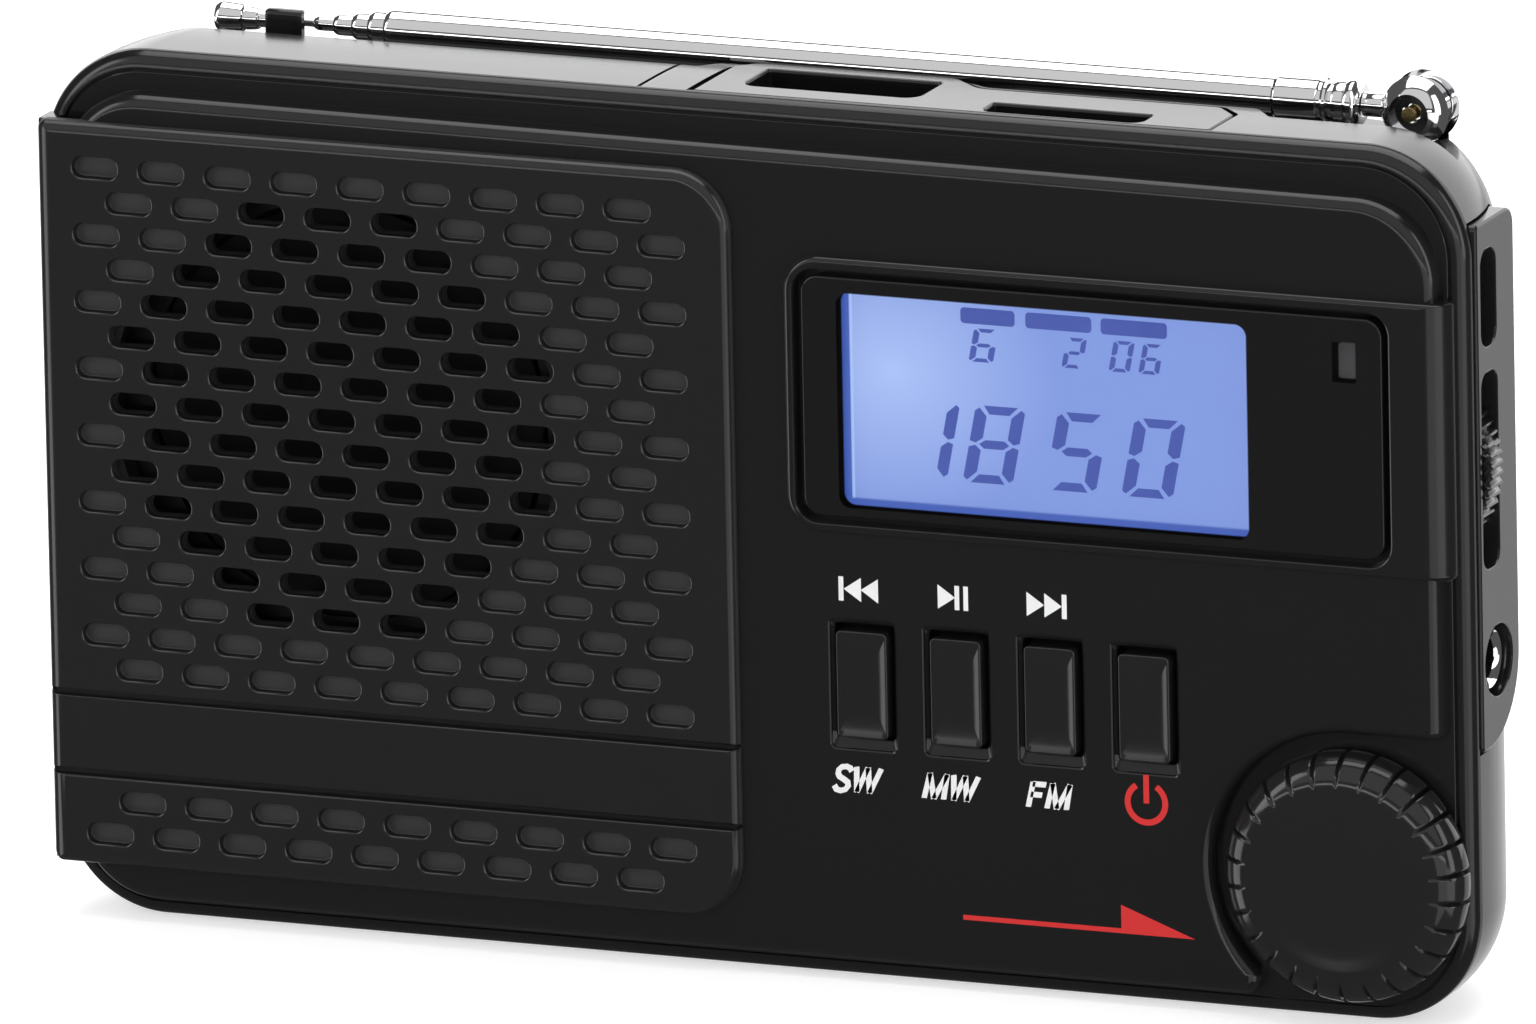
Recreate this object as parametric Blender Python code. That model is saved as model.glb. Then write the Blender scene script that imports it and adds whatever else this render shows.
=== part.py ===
"""Tabletop radio: a black two-part case with a speaker grille, clock display, four keys,
a tuning knob, a volume wheel, card, charging and headphone sockets and a telescopic antenna.

Axes: +X is the listener's right, +Y runs from the front to the back, +Z is up.
The origin is on the underside, in the middle of the width and of the depth.
Every depth below is measured backwards from the plane of the grille face.
"""
from math import cos, pi, radians, sin, sqrt

import bmesh
import bpy

for old in list(bpy.data.objects):
    bpy.data.objects.remove(old, do_unlink=True)

mm = 0.001

# ---------------------------------------------------------------- driving dimensions
case_width = 123.2 * mm
case_height = 71.8 * mm
case_depth = 23.0 * mm
corner_radius = 9.0 * mm
wall = 1.8 * mm
side_wall = 3.7 * mm
top_wall = 3.4 * mm
gap = 0.3 * mm
over = 3.0 * mm

parting = 4.0 * mm
rim_depth = 2.7 * mm
face_depth = 1.0 * mm
bezel_depth = 0.4 * mm
seam = 0.2 * mm
side_round = 14.0 * mm
top_round = 6.0 * mm
foot_round = 5.0 * mm

grille_width = 60.7 * mm
grille_below = 4.5 * mm
grille_above = 6.05 * mm
grille_thick = 1.8 * mm
grille_radius = 5.0 * mm
slot_length = 4.1 * mm
slot_height = 2.0 * mm
slot_pitch_x = 5.8 * mm
slot_pitch_z = 2.767 * mm
slot_rows = 16
slots_per_row = 9
first_slot_in = 5.7 * mm
first_slot_down = 9.27 * mm
sound_radius = 19.0 * mm
groove_low = 12.2 * mm
groove_high = 18.8 * mm

speaker_radius = 20.0 * mm
speaker_in = 26.0 * mm
speaker_down = 28.63 * mm
magnet_radius = 11.0 * mm
magnet_thick = 4.7 * mm

bezel_border = 1.4 * mm
bezel_top_down = 11.95 * mm
bezel_height = 22.65 * mm
lens_in = 6.45 * mm
lens_border = 3.15 * mm
lens_height = 19.75 * mm
lens_top_down = 13.6 * mm
lens_thick = 1.0 * mm
screen_edge = 2.1 * mm
screen_clear = 0.65 * mm
screen_width = 35.25 * mm
screen_height = 17.65 * mm
screen_top_down = 14.85 * mm
lamp_in = 9.8 * mm
lamp_clear = 1.2 * mm

key_count = 4
key_pitch = 8.11 * mm
middle_key_in = 39.635 * mm
key_z = 24.65 * mm
key_width = 4.3 * mm
key_height = 8.8 * mm
well_width = 5.6 * mm
well_height = 10.7 * mm
key_travel = 0.6 * mm

knob_in = 10.35 * mm
knob_z = 12.2 * mm
knob_radius = 10.3 * mm
knob_face_radius = 7.3 * mm
knob_proud = 1.3 * mm
knob_well = 1.3 * mm
shaft_radius = 1.5 * mm

board_depth = 6.8 * mm
board_thick = 1.2 * mm

port_depth = 6.5 * mm
plate_front = 4.4 * mm
plate_back = 12.2 * mm
plate_top_down = 6.2 * mm
plate_height = 43.2 * mm
plate_proud = 0.3 * mm
plate_thick = 2.0 * mm
wheel_radius = 8.2 * mm
wheel_thick = 3.0 * mm
wheel_proud = 0.7 * mm
wheel_down = 26.6 * mm
charge_down = 12.5 * mm
charge_height = 7.6 * mm
charge_thick = 2.9 * mm
jack_down = 42.5 * mm
jack_depth = 7.7 * mm
jack_radius = 2.6 * mm
plug_radius = 1.8 * mm

tray_left_in = 67.2 * mm
tray_right_in = 22.4 * mm
tray_back = 14.8 * mm
tray_step_back = 11.9 * mm
tray_step_in = 47.3 * mm
tray_thick = 1.4 * mm
usb_in = 56.4 * mm
usb_width = 13.1 * mm
usb_thick = 5.7 * mm
usb_depth = 10.1 * mm
usb_length = 13.8 * mm
card_in = 35.55 * mm
card_width = 13.3 * mm
card_slot = 2.9 * mm
card_depth = 6.35 * mm

battery_width = 53.0 * mm
battery_height = 34.0 * mm
battery_thick = 5.4 * mm
battery_in = 45.6 * mm
battery_z = 30.0 * mm

antenna_back_in = 5.6 * mm
antenna_drop = 0.3 * mm
ball_in = 9.6 * mm
ball_radius = 3.15 * mm
ledge_drop = 2.4 * mm
section_radii = [1.65 * mm, 1.32 * mm, 1.02 * mm, 0.75 * mm, 0.52 * mm, 0.34 * mm]
section_walls = [0.2 * mm, 0.18 * mm, 0.17 * mm, 0.14 * mm, 0.1 * mm]
section_steps = [1.5 * mm, 1.4 * mm, 1.8 * mm, 1.9 * mm, 6.9 * mm]
tube_start_in = 21.85 * mm
tube_length = 76.25 * mm
collar_length = 7.45 * mm
tip_radius = 1.5 * mm
tip_length = 2.8 * mm
clip_width = 3.2 * mm

screw_radius = 1.2 * mm
screw_post = 2.6 * mm
screw_head = 2.6 * mm
small_screw = 0.8 * mm
small_head = 2.1 * mm

# ---------------------------------------------------------------- places worked out from them
left = -case_width / 2
right = case_width / 2
top = case_height
back = case_depth
knob_x = right - knob_in
speaker_x = left + speaker_in
speaker_z = top - speaker_down
ball_x = right - ball_in
antenna_depth = back - antenna_back_in
antenna_z = top - antenna_drop
plate_face = right + plate_proud
wheel_x = plate_face + wheel_proud - wheel_radius
wheel_z = top - wheel_down
usb_x = right - usb_in
card_x = right - card_in
battery_x = right - battery_in
key_xs = [right - middle_key_in + key_pitch * (i - (key_count - 1) / 2) for i in range(key_count)]
wheel_inner = wheel_x - wheel_radius
lamp_z = wheel_z + wheel_radius + lamp_clear
screen_x0 = wheel_inner - screen_clear - screen_edge - screen_width
lens_x0 = screen_x0 - lens_border
lens_x1 = right - lens_in
bezel_x0 = lens_x0 - bezel_border
bezel_z0 = top - bezel_top_down - bezel_height
bezel_z1 = top - bezel_top_down
lens_z1 = top - lens_top_down
lens_z0 = lens_z1 - lens_height
screen_z1 = top - screen_top_down
screen_z0 = screen_z1 - screen_height
grille_z0 = grille_below
grille_z1 = top - grille_above
board_back = board_depth + board_thick


# ---------------------------------------------------------------- finishes
def finish(name, color, roughness, metallic=0.0):
    """A Principled material with one colour, roughness and metallic value."""
    material = bpy.data.materials.new(name)
    material.use_nodes = True
    shader = material.node_tree.nodes["Principled BSDF"]
    shader.inputs["Base Color"].default_value = (*color, 1.0)
    shader.inputs["Roughness"].default_value = roughness
    shader.inputs["Metallic"].default_value = metallic
    return material


black_case = finish("black_case", (0.012, 0.012, 0.013), 0.3)
black_trim = finish("black_trim", (0.01, 0.01, 0.011), 0.22)
clear_lens = finish("clear_lens", (0.02, 0.02, 0.025), 0.08)
blue_screen = finish("blue_screen", (0.2, 0.31, 0.74), 0.35)
milky_light = finish("milky_light", (0.8, 0.83, 0.9), 0.5)
green_board = finish("green_board", (0.02, 0.16, 0.07), 0.45)
bare_steel = finish("bare_steel", (0.6, 0.6, 0.6), 0.3, 1.0)
chrome = finish("chrome", (0.85, 0.85, 0.86), 0.08, 1.0)
brass = finish("brass", (0.72, 0.52, 0.22), 0.28, 1.0)
paper_cone = finish("paper_cone", (0.03, 0.03, 0.03), 0.85)
ferrite = finish("ferrite", (0.06, 0.055, 0.05), 0.6)
copper_wire = finish("copper_wire", (0.62, 0.26, 0.11), 0.35, 1.0)
battery_label = finish("battery_label", (0.06, 0.07, 0.09), 0.5)
red_sleeve = finish("red_sleeve", (0.5, 0.03, 0.02), 0.5)
black_sleeve = finish("black_sleeve", (0.02, 0.02, 0.02), 0.5)

# ---------------------------------------------------------------- building helpers
case_frame = bpy.data.objects.new("case_frame", None)
case_frame.location = (0.0, -case_depth / 2, 0.0)
bpy.context.collection.objects.link(case_frame)


def pivot(name, place, parent=case_frame):
    """An empty that stands on a joint's axis, so that the pieces under it turn about it."""
    empty = bpy.data.objects.new(name, None)
    empty.location = place
    empty.parent = parent
    bpy.context.collection.objects.link(empty)
    return empty


def put(name, bm, material, place=(0.0, 0.0, 0.0), parent=case_frame):
    """Turn a bmesh into a named object with its faces pointing out."""
    bmesh.ops.recalc_face_normals(bm, faces=bm.faces)
    mesh = bpy.data.meshes.new(name)
    bm.to_mesh(mesh)
    bm.free()
    mesh.materials.append(material)
    obj = bpy.data.objects.new(name, mesh)
    obj.location = place
    obj.parent = parent
    bpy.context.collection.objects.link(obj)
    return obj


def apply_tool(obj, bm, operation, label):
    """Unite obj with a bmesh, or cut the bmesh out of it, by a Boolean modifier."""
    tool = put(obj.name + "_" + label, bm, black_trim, obj.location, obj.parent)
    tool.hide_render = True
    tool.display_type = "WIRE"
    modifier = obj.modifiers.new(label, "BOOLEAN")
    modifier.operation = operation
    modifier.object = tool
    return tool


def cut(obj, bm, label):
    """Take the bmesh away from obj."""
    return apply_tool(obj, bm, "DIFFERENCE", label)


def add(obj, bm, label):
    """Unite obj with the bmesh."""
    return apply_tool(obj, bm, "UNION", label)


def at_axis(axis, a, b, along):
    """A point with a and b across the axis and along on it."""
    return {"X": (along, a, b), "Y": (a, along, b), "Z": (a, b, along)}[axis]


def loft(axis, rings, bm=None):
    """Skin a closed solid through rings of (along, outline) that have equal point counts."""
    bm = bm or bmesh.new()
    loops = [[bm.verts.new(at_axis(axis, a, b, along)) for a, b in line] for along, line in rings]
    count = len(loops[0])
    for lower, upper in zip(loops, loops[1:]):
        for i in range(count):
            j = (i + 1) % count
            bm.faces.new((lower[i], lower[j], upper[j], upper[i]))
    bm.faces.new(loops[0])
    bm.faces.new(loops[-1])
    return bm


def prism(axis, outline, start, end, bm=None):
    """A straight prism of one outline."""
    return loft(axis, [(start, outline), (end, outline)], bm)


def box(x0, x1, y0, y1, z0, z1, bm=None):
    """A box between two corners."""
    return prism("Z", [(x0, y0), (x1, y0), (x1, y1), (x0, y1)], z0, z1, bm)


def rounded(a0, a1, b0, b1, radii, steps=4):
    """A rectangle with arcs at its corners: low-low, high-low, high-high, low-high."""
    corners = [(a0, b0, 180), (a1, b0, 270), (a1, b1, 0), (a0, b1, 90)]
    line = []
    for (a, b, start), radius in zip(corners, radii):
        center_a = a + radius * (1 if a == a0 else -1)
        center_b = b + radius * (1 if b == b0 else -1)
        for k in range(steps + 1):
            angle = radians(start + 90.0 * k / steps)
            line.append((center_a + radius * cos(angle), center_b + radius * sin(angle)))
    return line


def circle(a, b, radius, count):
    """A regular polygon that stands for a circle."""
    angles = [2 * pi * (k + 0.5) / count for k in range(count)]
    return [(a + radius * cos(angle), b + radius * sin(angle)) for angle in angles]


def turned(axis, profile, count, center=(0.0, 0.0), bore=False):
    """Turn a profile of (radius, along) about the axis; a bore closes the profile on itself."""
    rings = [(along, circle(*center, radius, count)) for radius, along in profile]
    if not bore:
        return loft(axis, rings)
    bm = bmesh.new()
    loops = [[bm.verts.new(at_axis(axis, a, b, along)) for a, b in line] for along, line in rings]
    for lower, upper in zip(loops, loops[1:] + loops[:1]):
        for i in range(count):
            j = (i + 1) % count
            bm.faces.new((lower[i], lower[j], upper[j], upper[i]))
    return bm


def edge_round(radius, start, steps=3):
    """Insets and depths of a quarter-round edge that begins at the depth start."""
    angles = [radians(90.0 * k / steps) for k in range(steps + 1)]
    return [(radius * (1 - sin(angle)), start + radius * (1 - cos(angle))) for angle in angles]


def block(a0, a1, b0, b1, radii, layers, steps=4):
    """A rounded block along Y whose outline shrinks by an inset at each depth."""
    rings = []
    for inset, depth in layers:
        line = rounded(a0 + inset, a1 - inset, b0 + inset, b1 - inset,
                       [max(radius - inset, 0.2 * mm) for radius in radii], steps)
        rings.append((depth, line))
    return loft("Y", rings)


# ---------------------------------------------------------------- front shell
grille_right = left + grille_width
slots = []
for row in list(range(1, slot_rows + 1)) + [slot_rows + 4, slot_rows + 5]:
    for column in range(slots_per_row):
        shift = slot_pitch_x / 2 if row % 2 == 0 else 0.0
        slot_x = left + first_slot_in + slot_pitch_x * column + shift
        slot_z = top - first_slot_down - slot_pitch_z * (row - 1)
        slots.append((slot_x, slot_z))
open_slots = [(x, z) for x, z in slots
              if sqrt((x - speaker_x) ** 2 + (z - speaker_z) ** 2) < sound_radius]

left_inner_face = grille_thick + gap + 1.5 * mm
right_inner_face = 3.0 * mm
board_posts = [(right - 70.1 * mm, 15.0 * mm), (right - 70.1 * mm, top - 16.8 * mm),
               (right - 19.1 * mm, 30.5 * mm)]
case_posts = [(left + 7.6 * mm, 8.0 * mm), (left + 7.6 * mm, top - 9.6 * mm),
              (right - 25.5 * mm, 6.6 * mm), (right - 14.6 * mm, top - 8.4 * mm)]
speaker_posts = [(speaker_x + (speaker_radius + 2.0 * mm) * cos(radians(angle)),
                  speaker_z + (speaker_radius + 2.0 * mm) * sin(radians(angle)))
                 for angle in (90, 330)]


def knob_recess(radius):
    """The outline of the recess round the knob, open to the right and below."""
    arc = [radians(90 + 180.0 * k / 12) for k in range(13)]
    line = [(knob_x + radius * cos(angle), knob_z + radius * sin(angle)) for angle in arc]
    outer = right + over
    return line + [(outer, knob_z - radius), (outer, knob_z + radius)]


def post(x, z, radius, bore, start, end):
    """A moulded screw post with a blind bore in its far end."""
    return turned("Y", [(radius, start), (radius, end), (bore, end), (bore, start + 1.4 * mm)],
                  10, (x, z))


front_shell = put("front_shell", block(
    left, right, 0.0, top, [corner_radius] * 4, edge_round(parting - rim_depth, rim_depth), 6),
    black_case)
pad = add(front_shell, block(
    left + 2.1 * mm, right - 2.1 * mm, 1.5 * mm, top - 3.9 * mm, [6.9 * mm] * 4,
    edge_round(1.2 * mm, face_depth) + [(0.0, rim_depth + 0.5 * mm)], 5), "pad")
cut(pad, prism("Y", knob_recess(knob_radius + knob_well), -over, rim_depth + over), "knob_recess")
add(front_shell, block(
    bezel_x0, right - 1.0 * mm, bezel_z0, bezel_z1, [3.0 * mm, 1.0 * mm, 1.0 * mm, 3.0 * mm],
    edge_round(0.6 * mm, bezel_depth, 2) + [(0.0, rim_depth + 0.4 * mm)]), "bezel")
pocket = cut(front_shell, prism("Y", rounded(
    grille_right + 0.6 * mm, right - side_wall, wall, top - top_wall,
    [1.0 * mm, 6.0 * mm, 6.0 * mm, 1.0 * mm]),
    right_inner_face, parting + over), "right_pocket")
cut(pocket, prism("Y", knob_recess(knob_radius + knob_well + 1.3 * mm), -over, parting + 2 * over),
    "knob_floor")
cut(front_shell, prism("Y", rounded(
    left + wall, grille_right + 0.2 * mm, wall, top - wall, [7.2 * mm, 1.0 * mm, 1.0 * mm, 7.2 * mm]),
    left_inner_face, parting + over), "left_pocket")
cut(front_shell, prism("Y", rounded(
    left - over, grille_right + 0.15 * mm, grille_z0 - 0.15 * mm, grille_z1 + 0.15 * mm,
    [1.0 * mm, grille_radius, grille_radius, 1.0 * mm]), -over, grille_thick + gap), "grille_recess")
cut(front_shell, prism("Y", circle(speaker_x, speaker_z, sound_radius + 0.3 * mm, 24),
                       0.0, parting + over), "sound_opening")
cut(front_shell, prism("Y", rounded(
    lens_x0 - 0.5 * mm, lens_x1 + 0.5 * mm, lens_z0 - 0.5 * mm, lens_z1 + 0.5 * mm,
    [1.6 * mm] * 4, 3), -over, bezel_depth + gap + lens_thick + gap), "lens_recess")
window = prism("Y", rounded(
    screen_x0 - 0.5 * mm, screen_x0 + screen_width + 0.5 * mm, screen_z0 - 0.4 * mm,
    screen_z1 + 0.4 * mm, [1.2 * mm] * 4, 2), -over, parting + over)
prism("Y", circle(right - lamp_in, lamp_z, 1.7 * mm, 8), -over, parting + over, window)
cut(front_shell, window, "windows")
wells = bmesh.new()
for key_x in key_xs:
    well_rings = []
    for margin, depth in ((0.0, -over), (0.0, face_depth + 0.1 * mm), (0.35 * mm, 2.0 * mm),
                          (0.35 * mm, parting + over)):
        half_w = well_width / 2 - margin
        half_h = well_height / 2 - 2 * margin
        well_rings.append((depth, rounded(key_x - half_w, key_x + half_w, key_z - half_h,
                                          key_z + half_h, [0.6 * mm] * 4, 2)))
    loft("Y", well_rings, wells)
prism("Y", circle(knob_x, knob_z, 3.4 * mm, 12), 0.0, parting + over, wells)
cut(front_shell, wells, "key_wells")
for index, (x, z) in enumerate(board_posts):
    add(front_shell, post(x, z, 2.2 * mm, small_screw + 0.25 * mm, 2.6 * mm, board_depth - gap),
        "board_post_%d" % (index + 1))
for index, (x, z) in enumerate(case_posts):
    add(front_shell, post(x, z, screw_post, screw_radius + 0.2 * mm, 2.8 * mm, 11.7 * mm),
        "case_post_%d" % (index + 1))
for index, (x, z) in enumerate(speaker_posts):
    add(front_shell, post(x, z, 1.6 * mm, small_screw + 0.15 * mm, 3.0 * mm, 4.9 * mm),
        "speaker_post_%d" % (index + 1))
rod_z = 16.6 * mm
for index, x in enumerate((left + 12.5 * mm, left + 44.0 * mm)):
    add(front_shell, box(x, x + 2.5 * mm, 3.2 * mm, 8.3 * mm, rod_z - 2.5 * mm, rod_z + 2.5 * mm),
        "rod_saddle_%d" % (index + 1))

# ---------------------------------------------------------------- speaker grille
speaker_grille = put("speaker_grille", block(
    left + 0.05 * mm, grille_right, grille_z0, grille_z1,
    [2.5 * mm, grille_radius, grille_radius, 2.5 * mm],
    edge_round(1.3 * mm, 0.0) + [(0.0, grille_thick)]), black_case)
stadiums = bmesh.new()
for x, z in open_slots:
    prism("Y", rounded(x - slot_length / 2, x + slot_length / 2, z - slot_height / 2,
                       z + slot_height / 2, [slot_height * 0.42] * 4, 1), -over, grille_thick + over,
          stadiums)
cut(speaker_grille, stadiums, "slots")
grooves = bmesh.new()
for z in (groove_low, groove_high):
    prism("X", [(-0.4 * mm, z - 0.8 * mm), (0.5 * mm, z), (-0.4 * mm, z + 0.8 * mm)],
          left - over, grille_right + over, grooves)
cut(speaker_grille, grooves, "grooves")

# ---------------------------------------------------------------- back shell
shell_front = parting + seam
curve_start = shell_front + 0.8 * mm


def shell_ring(turn, margins, rear, side, crown, sole):
    """One ring of the back shell at a turn of 0 to 90 degrees round its side curve."""
    depth = curve_start + (rear - curve_start) * sin(radians(turn))
    bend = 1 - cos(radians(turn))
    flat_end = rear - 6.0 * mm
    low = max(0.0, (depth - flat_end) / (rear - flat_end))
    low_margin, right_margin, top_margin, left_margin = margins
    line = rounded(
        left + left_margin + side * bend, right - right_margin - side * bend,
        low_margin + sole * (1 - sqrt(1 - low * low)), top - top_margin - crown * bend ** 1.5,
        [max(corner_radius - left_margin, 2.0 * mm)] * 4, 5)
    return depth, line


outer_rings = [(shell_front, shell_ring(0, (0, 0, 0, 0), back, 0, 0, 0)[1])]
outer_rings += [shell_ring(turn, (0, 0, 0, 0), back, side_round, top_round, foot_round)
                for turn in (0, 15, 30, 45, 60, 75, 90)]
back_shell = put("back_shell", loft("Y", outer_rings), black_case)

inner_margins = (wall, side_wall, top_wall, wall)
inner_rings = [(-over, shell_ring(0, inner_margins, back, 0, 0, 0)[1])]
inner_rings += [shell_ring(turn, inner_margins, back - wall, side_round - 1.0 * mm,
                           top_round - 2.0 * mm, foot_round) for turn in (0, 25, 50, 70, 90)]
cavity = cut(back_shell, loft("Y", inner_rings), "cavity")

bay_x0 = battery_x - battery_width / 2 - 0.9 * mm
bay_x1 = battery_x + battery_width / 2 + 2.1 * mm
bay_z0 = battery_z - battery_height / 2 - 0.7 * mm
bay_z1 = battery_z + battery_height / 2 + 0.7 * mm
door_thick = 1.6 * mm
bay_floor = back - door_thick - gap - 0.2 * mm - battery_thick - 0.6 * mm
cut(cavity, box(bay_x0 - 1.3 * mm, bay_x1 + 1.3 * mm, bay_floor - 1.2 * mm, back + over,
                bay_z0 - 1.3 * mm, bay_z1 + 1.3 * mm), "bay_walls")
for index, (x, z) in enumerate(case_posts):
    cut(cavity, prism("Y", circle(x, z, screw_head + 1.4 * mm, 12), 12.0 * mm, back + over),
        "screw_tube_%d" % (index + 1))
cut(cavity, prism("Z", circle(ball_x, antenna_depth, ball_radius + 0.75 * mm, 12),
                  top - 9.3 * mm, top + over), "antenna_boss")
cut(back_shell, prism("Y", rounded(bay_x0, bay_x1, bay_z0, bay_z1, [1.5 * mm] * 4, 2),
                      bay_floor, back + over), "battery_bay")
door_margin = 2.0 * mm
cut(back_shell, prism("Y", rounded(
    bay_x0 - door_margin - gap, bay_x1 + door_margin + gap, bay_z0 - door_margin - gap,
    bay_z1 + door_margin + gap, [2.3 * mm] * 4, 2), back - door_thick - gap, back + over), "door_seat")
head_seat = back - 8.2 * mm
for index, (x, z) in enumerate(case_posts):
    cut(back_shell, turned("Y", [
        (screw_radius + 0.4 * mm, 10.0 * mm), (screw_radius + 0.4 * mm, head_seat),
        (screw_head + 0.4 * mm, head_seat), (screw_head + 0.4 * mm, back + over)], 10, (x, z)),
        "screw_hole_%d" % (index + 1))

tray_x0 = right - tray_left_in
tray_x1 = right - tray_right_in
tray_step_x = right - tray_step_in
tray_front = parting + seam + 0.15 * mm


def tray_outline(margin, front):
    """The top tray's outline, deeper behind the wide socket, grown by a margin."""
    slope = 0.414 * margin
    return [
        (tray_x0 - margin, front), (tray_x1 + margin, front),
        (tray_x1 + margin, tray_step_back - 2.0 * mm + slope),
        (tray_x1 - 2.2 * mm + slope, tray_step_back + margin),
        (tray_step_x + slope + 1.5 * mm, tray_step_back + margin),
        (tray_step_x + slope - 1.5 * mm, tray_back + margin),
        (tray_x0 + 1.8 * mm - slope, tray_back + margin),
        (tray_x0 - margin, tray_back - 1.8 * mm + slope)]


ledge_z = top - ledge_drop
ledge_front = tray_step_back + 0.5 * mm
ledge = [
    (left - over, ledge_front), (tray_x0 - 3.0 * mm, ledge_front),
    (tray_x0 - 1.4 * mm, tray_back + 0.5 * mm), (tray_step_x - 1.2 * mm, tray_back + 0.5 * mm),
    (tray_step_x + 1.9 * mm, tray_step_back + 0.7 * mm), (tray_x1 + 0.6 * mm, tray_step_back + 0.7 * mm),
    (tray_x1 + 2.3 * mm, tray_step_back - 2.0 * mm), (right + over, tray_step_back - 2.0 * mm),
    (right + over, back + over), (left - over, back + over)]
cut(back_shell, prism("Z", ledge, ledge_z, top + over), "antenna_ledge")
cut(back_shell, prism("Z", circle(ball_x, antenna_depth, ball_radius - 0.35 * mm, 12),
                      top - 5.1 * mm, top + over), "ball_seat")
cut(back_shell, prism("Z", circle(ball_x, antenna_depth, 1.0 * mm, 8),
                      top - 12.0 * mm, top - 4.0 * mm), "antenna_screw_hole")
cut(back_shell, prism("Z", circle(ball_x, antenna_depth, 2.3 * mm, 12),
                      top - 16.0 * mm, top - 9.2 * mm), "antenna_screw_room")
tray_floor = top - 0.1 * mm - tray_thick - gap
cut(back_shell, prism("Z", tray_outline(0.15 * mm, parting - over), tray_floor, top + over), "tray_seat")
cut(back_shell, prism("Z", tray_outline(-1.2 * mm, parting - over), top - top_wall - over, top),
    "tray_window")
cut(back_shell, box(tray_x0 - 4.6 * mm, tray_x0 - 4.1 * mm, parting - over, tray_step_back + over,
                    top - 0.8 * mm, top + over), "top_groove")

plate_z1 = top - plate_top_down
plate_z0 = plate_z1 - plate_height
plate_radii = [0.4 * mm, 7.0 * mm, 1.5 * mm, 0.4 * mm]
plate_x0 = plate_face - plate_thick
cut(back_shell, prism("X", rounded(
    parting - over, plate_back + 0.15 * mm, plate_z0 - 0.15 * mm, plate_z1 + 0.15 * mm, plate_radii, 4),
    plate_x0 - gap, right + over), "plate_seat")
cut(back_shell, prism("X", rounded(
    parting - over, plate_back - 1.2 * mm, plate_z0 + 1.2 * mm, plate_z1 - 1.2 * mm,
    [0.4 * mm, 6.0 * mm, 0.6 * mm, 0.4 * mm], 4), right - side_wall - over, right), "plate_window")
clip_x = ball_x - 97.6 * mm
cut(back_shell, box(clip_x - clip_width / 2 - gap, clip_x + clip_width / 2 + gap,
                    antenna_depth - section_radii[1] - 0.43 * mm, antenna_depth + 1.4 * mm,
                    ledge_z - 1.2 * mm, top + over), "clip_seat")

# ---------------------------------------------------------------- battery and its cover
battery_cover = put("battery_cover", block(
    bay_x0 - door_margin, bay_x1 + door_margin, bay_z0 - door_margin, bay_z1 + door_margin,
    [2.0 * mm] * 4, [(0.0, back - door_thick), (0.0, back - 0.3 * mm), (0.3 * mm, back)], 2), black_case)
cut(battery_cover, block(
    bay_x0 + 3.0 * mm, bay_x0 + 7.0 * mm, battery_z - 6.0 * mm, battery_z + 6.0 * mm, [1.0 * mm] * 4,
    [(0.0, back + over), (0.0, back), (0.5 * mm, back - 0.7 * mm)], 2), "finger_dip")
battery_front = bay_floor + gap
put("battery", block(
    battery_x - battery_width / 2, battery_x + battery_width / 2, battery_z - battery_height / 2,
    battery_z + battery_height / 2, [2.0 * mm] * 4,
    [(0.5 * mm, battery_front), (0.0, battery_front + 0.6 * mm),
     (0.0, battery_front + battery_thick - 0.6 * mm), (0.5 * mm, battery_front + battery_thick)], 2),
    battery_label)
for index, z in enumerate((battery_z - 5.0 * mm, battery_z + 5.0 * mm)):
    spring = [(bay_x1 - 0.3 * mm, battery_front), (bay_x1 - 0.3 * mm, battery_front + 4.6 * mm),
              (bay_x1 - 0.6 * mm, battery_front + 4.8 * mm), (bay_x1 - 1.8 * mm, battery_front + 2.6 * mm),
              (bay_x1 - 1.5 * mm, battery_front + 2.3 * mm), (bay_x1 - 0.7 * mm, battery_front + 3.6 * mm),
              (bay_x1 - 0.7 * mm, battery_front)]
    put("battery_contact_%d" % (index + 1), prism("Z", spring, z - 0.9 * mm, z + 0.9 * mm), brass)

# ---------------------------------------------------------------- top tray and its sockets
top_panel = put("top_panel", prism("Z", tray_outline(0.0, tray_front), tray_floor + gap,
                                   top - 0.1 * mm), black_case)
usb_slot = box(usb_x - usb_width / 2 - 0.85 * mm, usb_x + usb_width / 2 + 0.85 * mm,
               usb_depth - usb_thick / 2, usb_depth + usb_thick / 2, top - over, top + over)
box(card_x - card_width / 2, card_x + card_width / 2, card_depth - card_slot / 2,
    card_depth + card_slot / 2, top - over, top + over, usb_slot)
cut(top_panel, usb_slot, "socket_slots")

socket_top = tray_floor
usb_socket = put("usb_socket", box(
    usb_x - usb_width / 2, usb_x + usb_width / 2, usb_depth - usb_thick / 2,
    usb_depth + usb_thick / 2, socket_top - usb_length, socket_top), bare_steel)
usb_hollow = cut(usb_socket, box(
    usb_x - usb_width / 2 + 0.35 * mm, usb_x + usb_width / 2 - 0.35 * mm,
    usb_depth - usb_thick / 2 + 0.35 * mm, usb_depth + usb_thick / 2 - 0.35 * mm,
    socket_top - usb_length + 2.0 * mm, socket_top + over), "mouth")
cut(usb_hollow, box(
    usb_x - 5.55 * mm, usb_x + 5.55 * mm, usb_depth - 1.8 * mm, usb_depth,
    socket_top - usb_length, socket_top - 1.6 * mm), "tongue")

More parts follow.
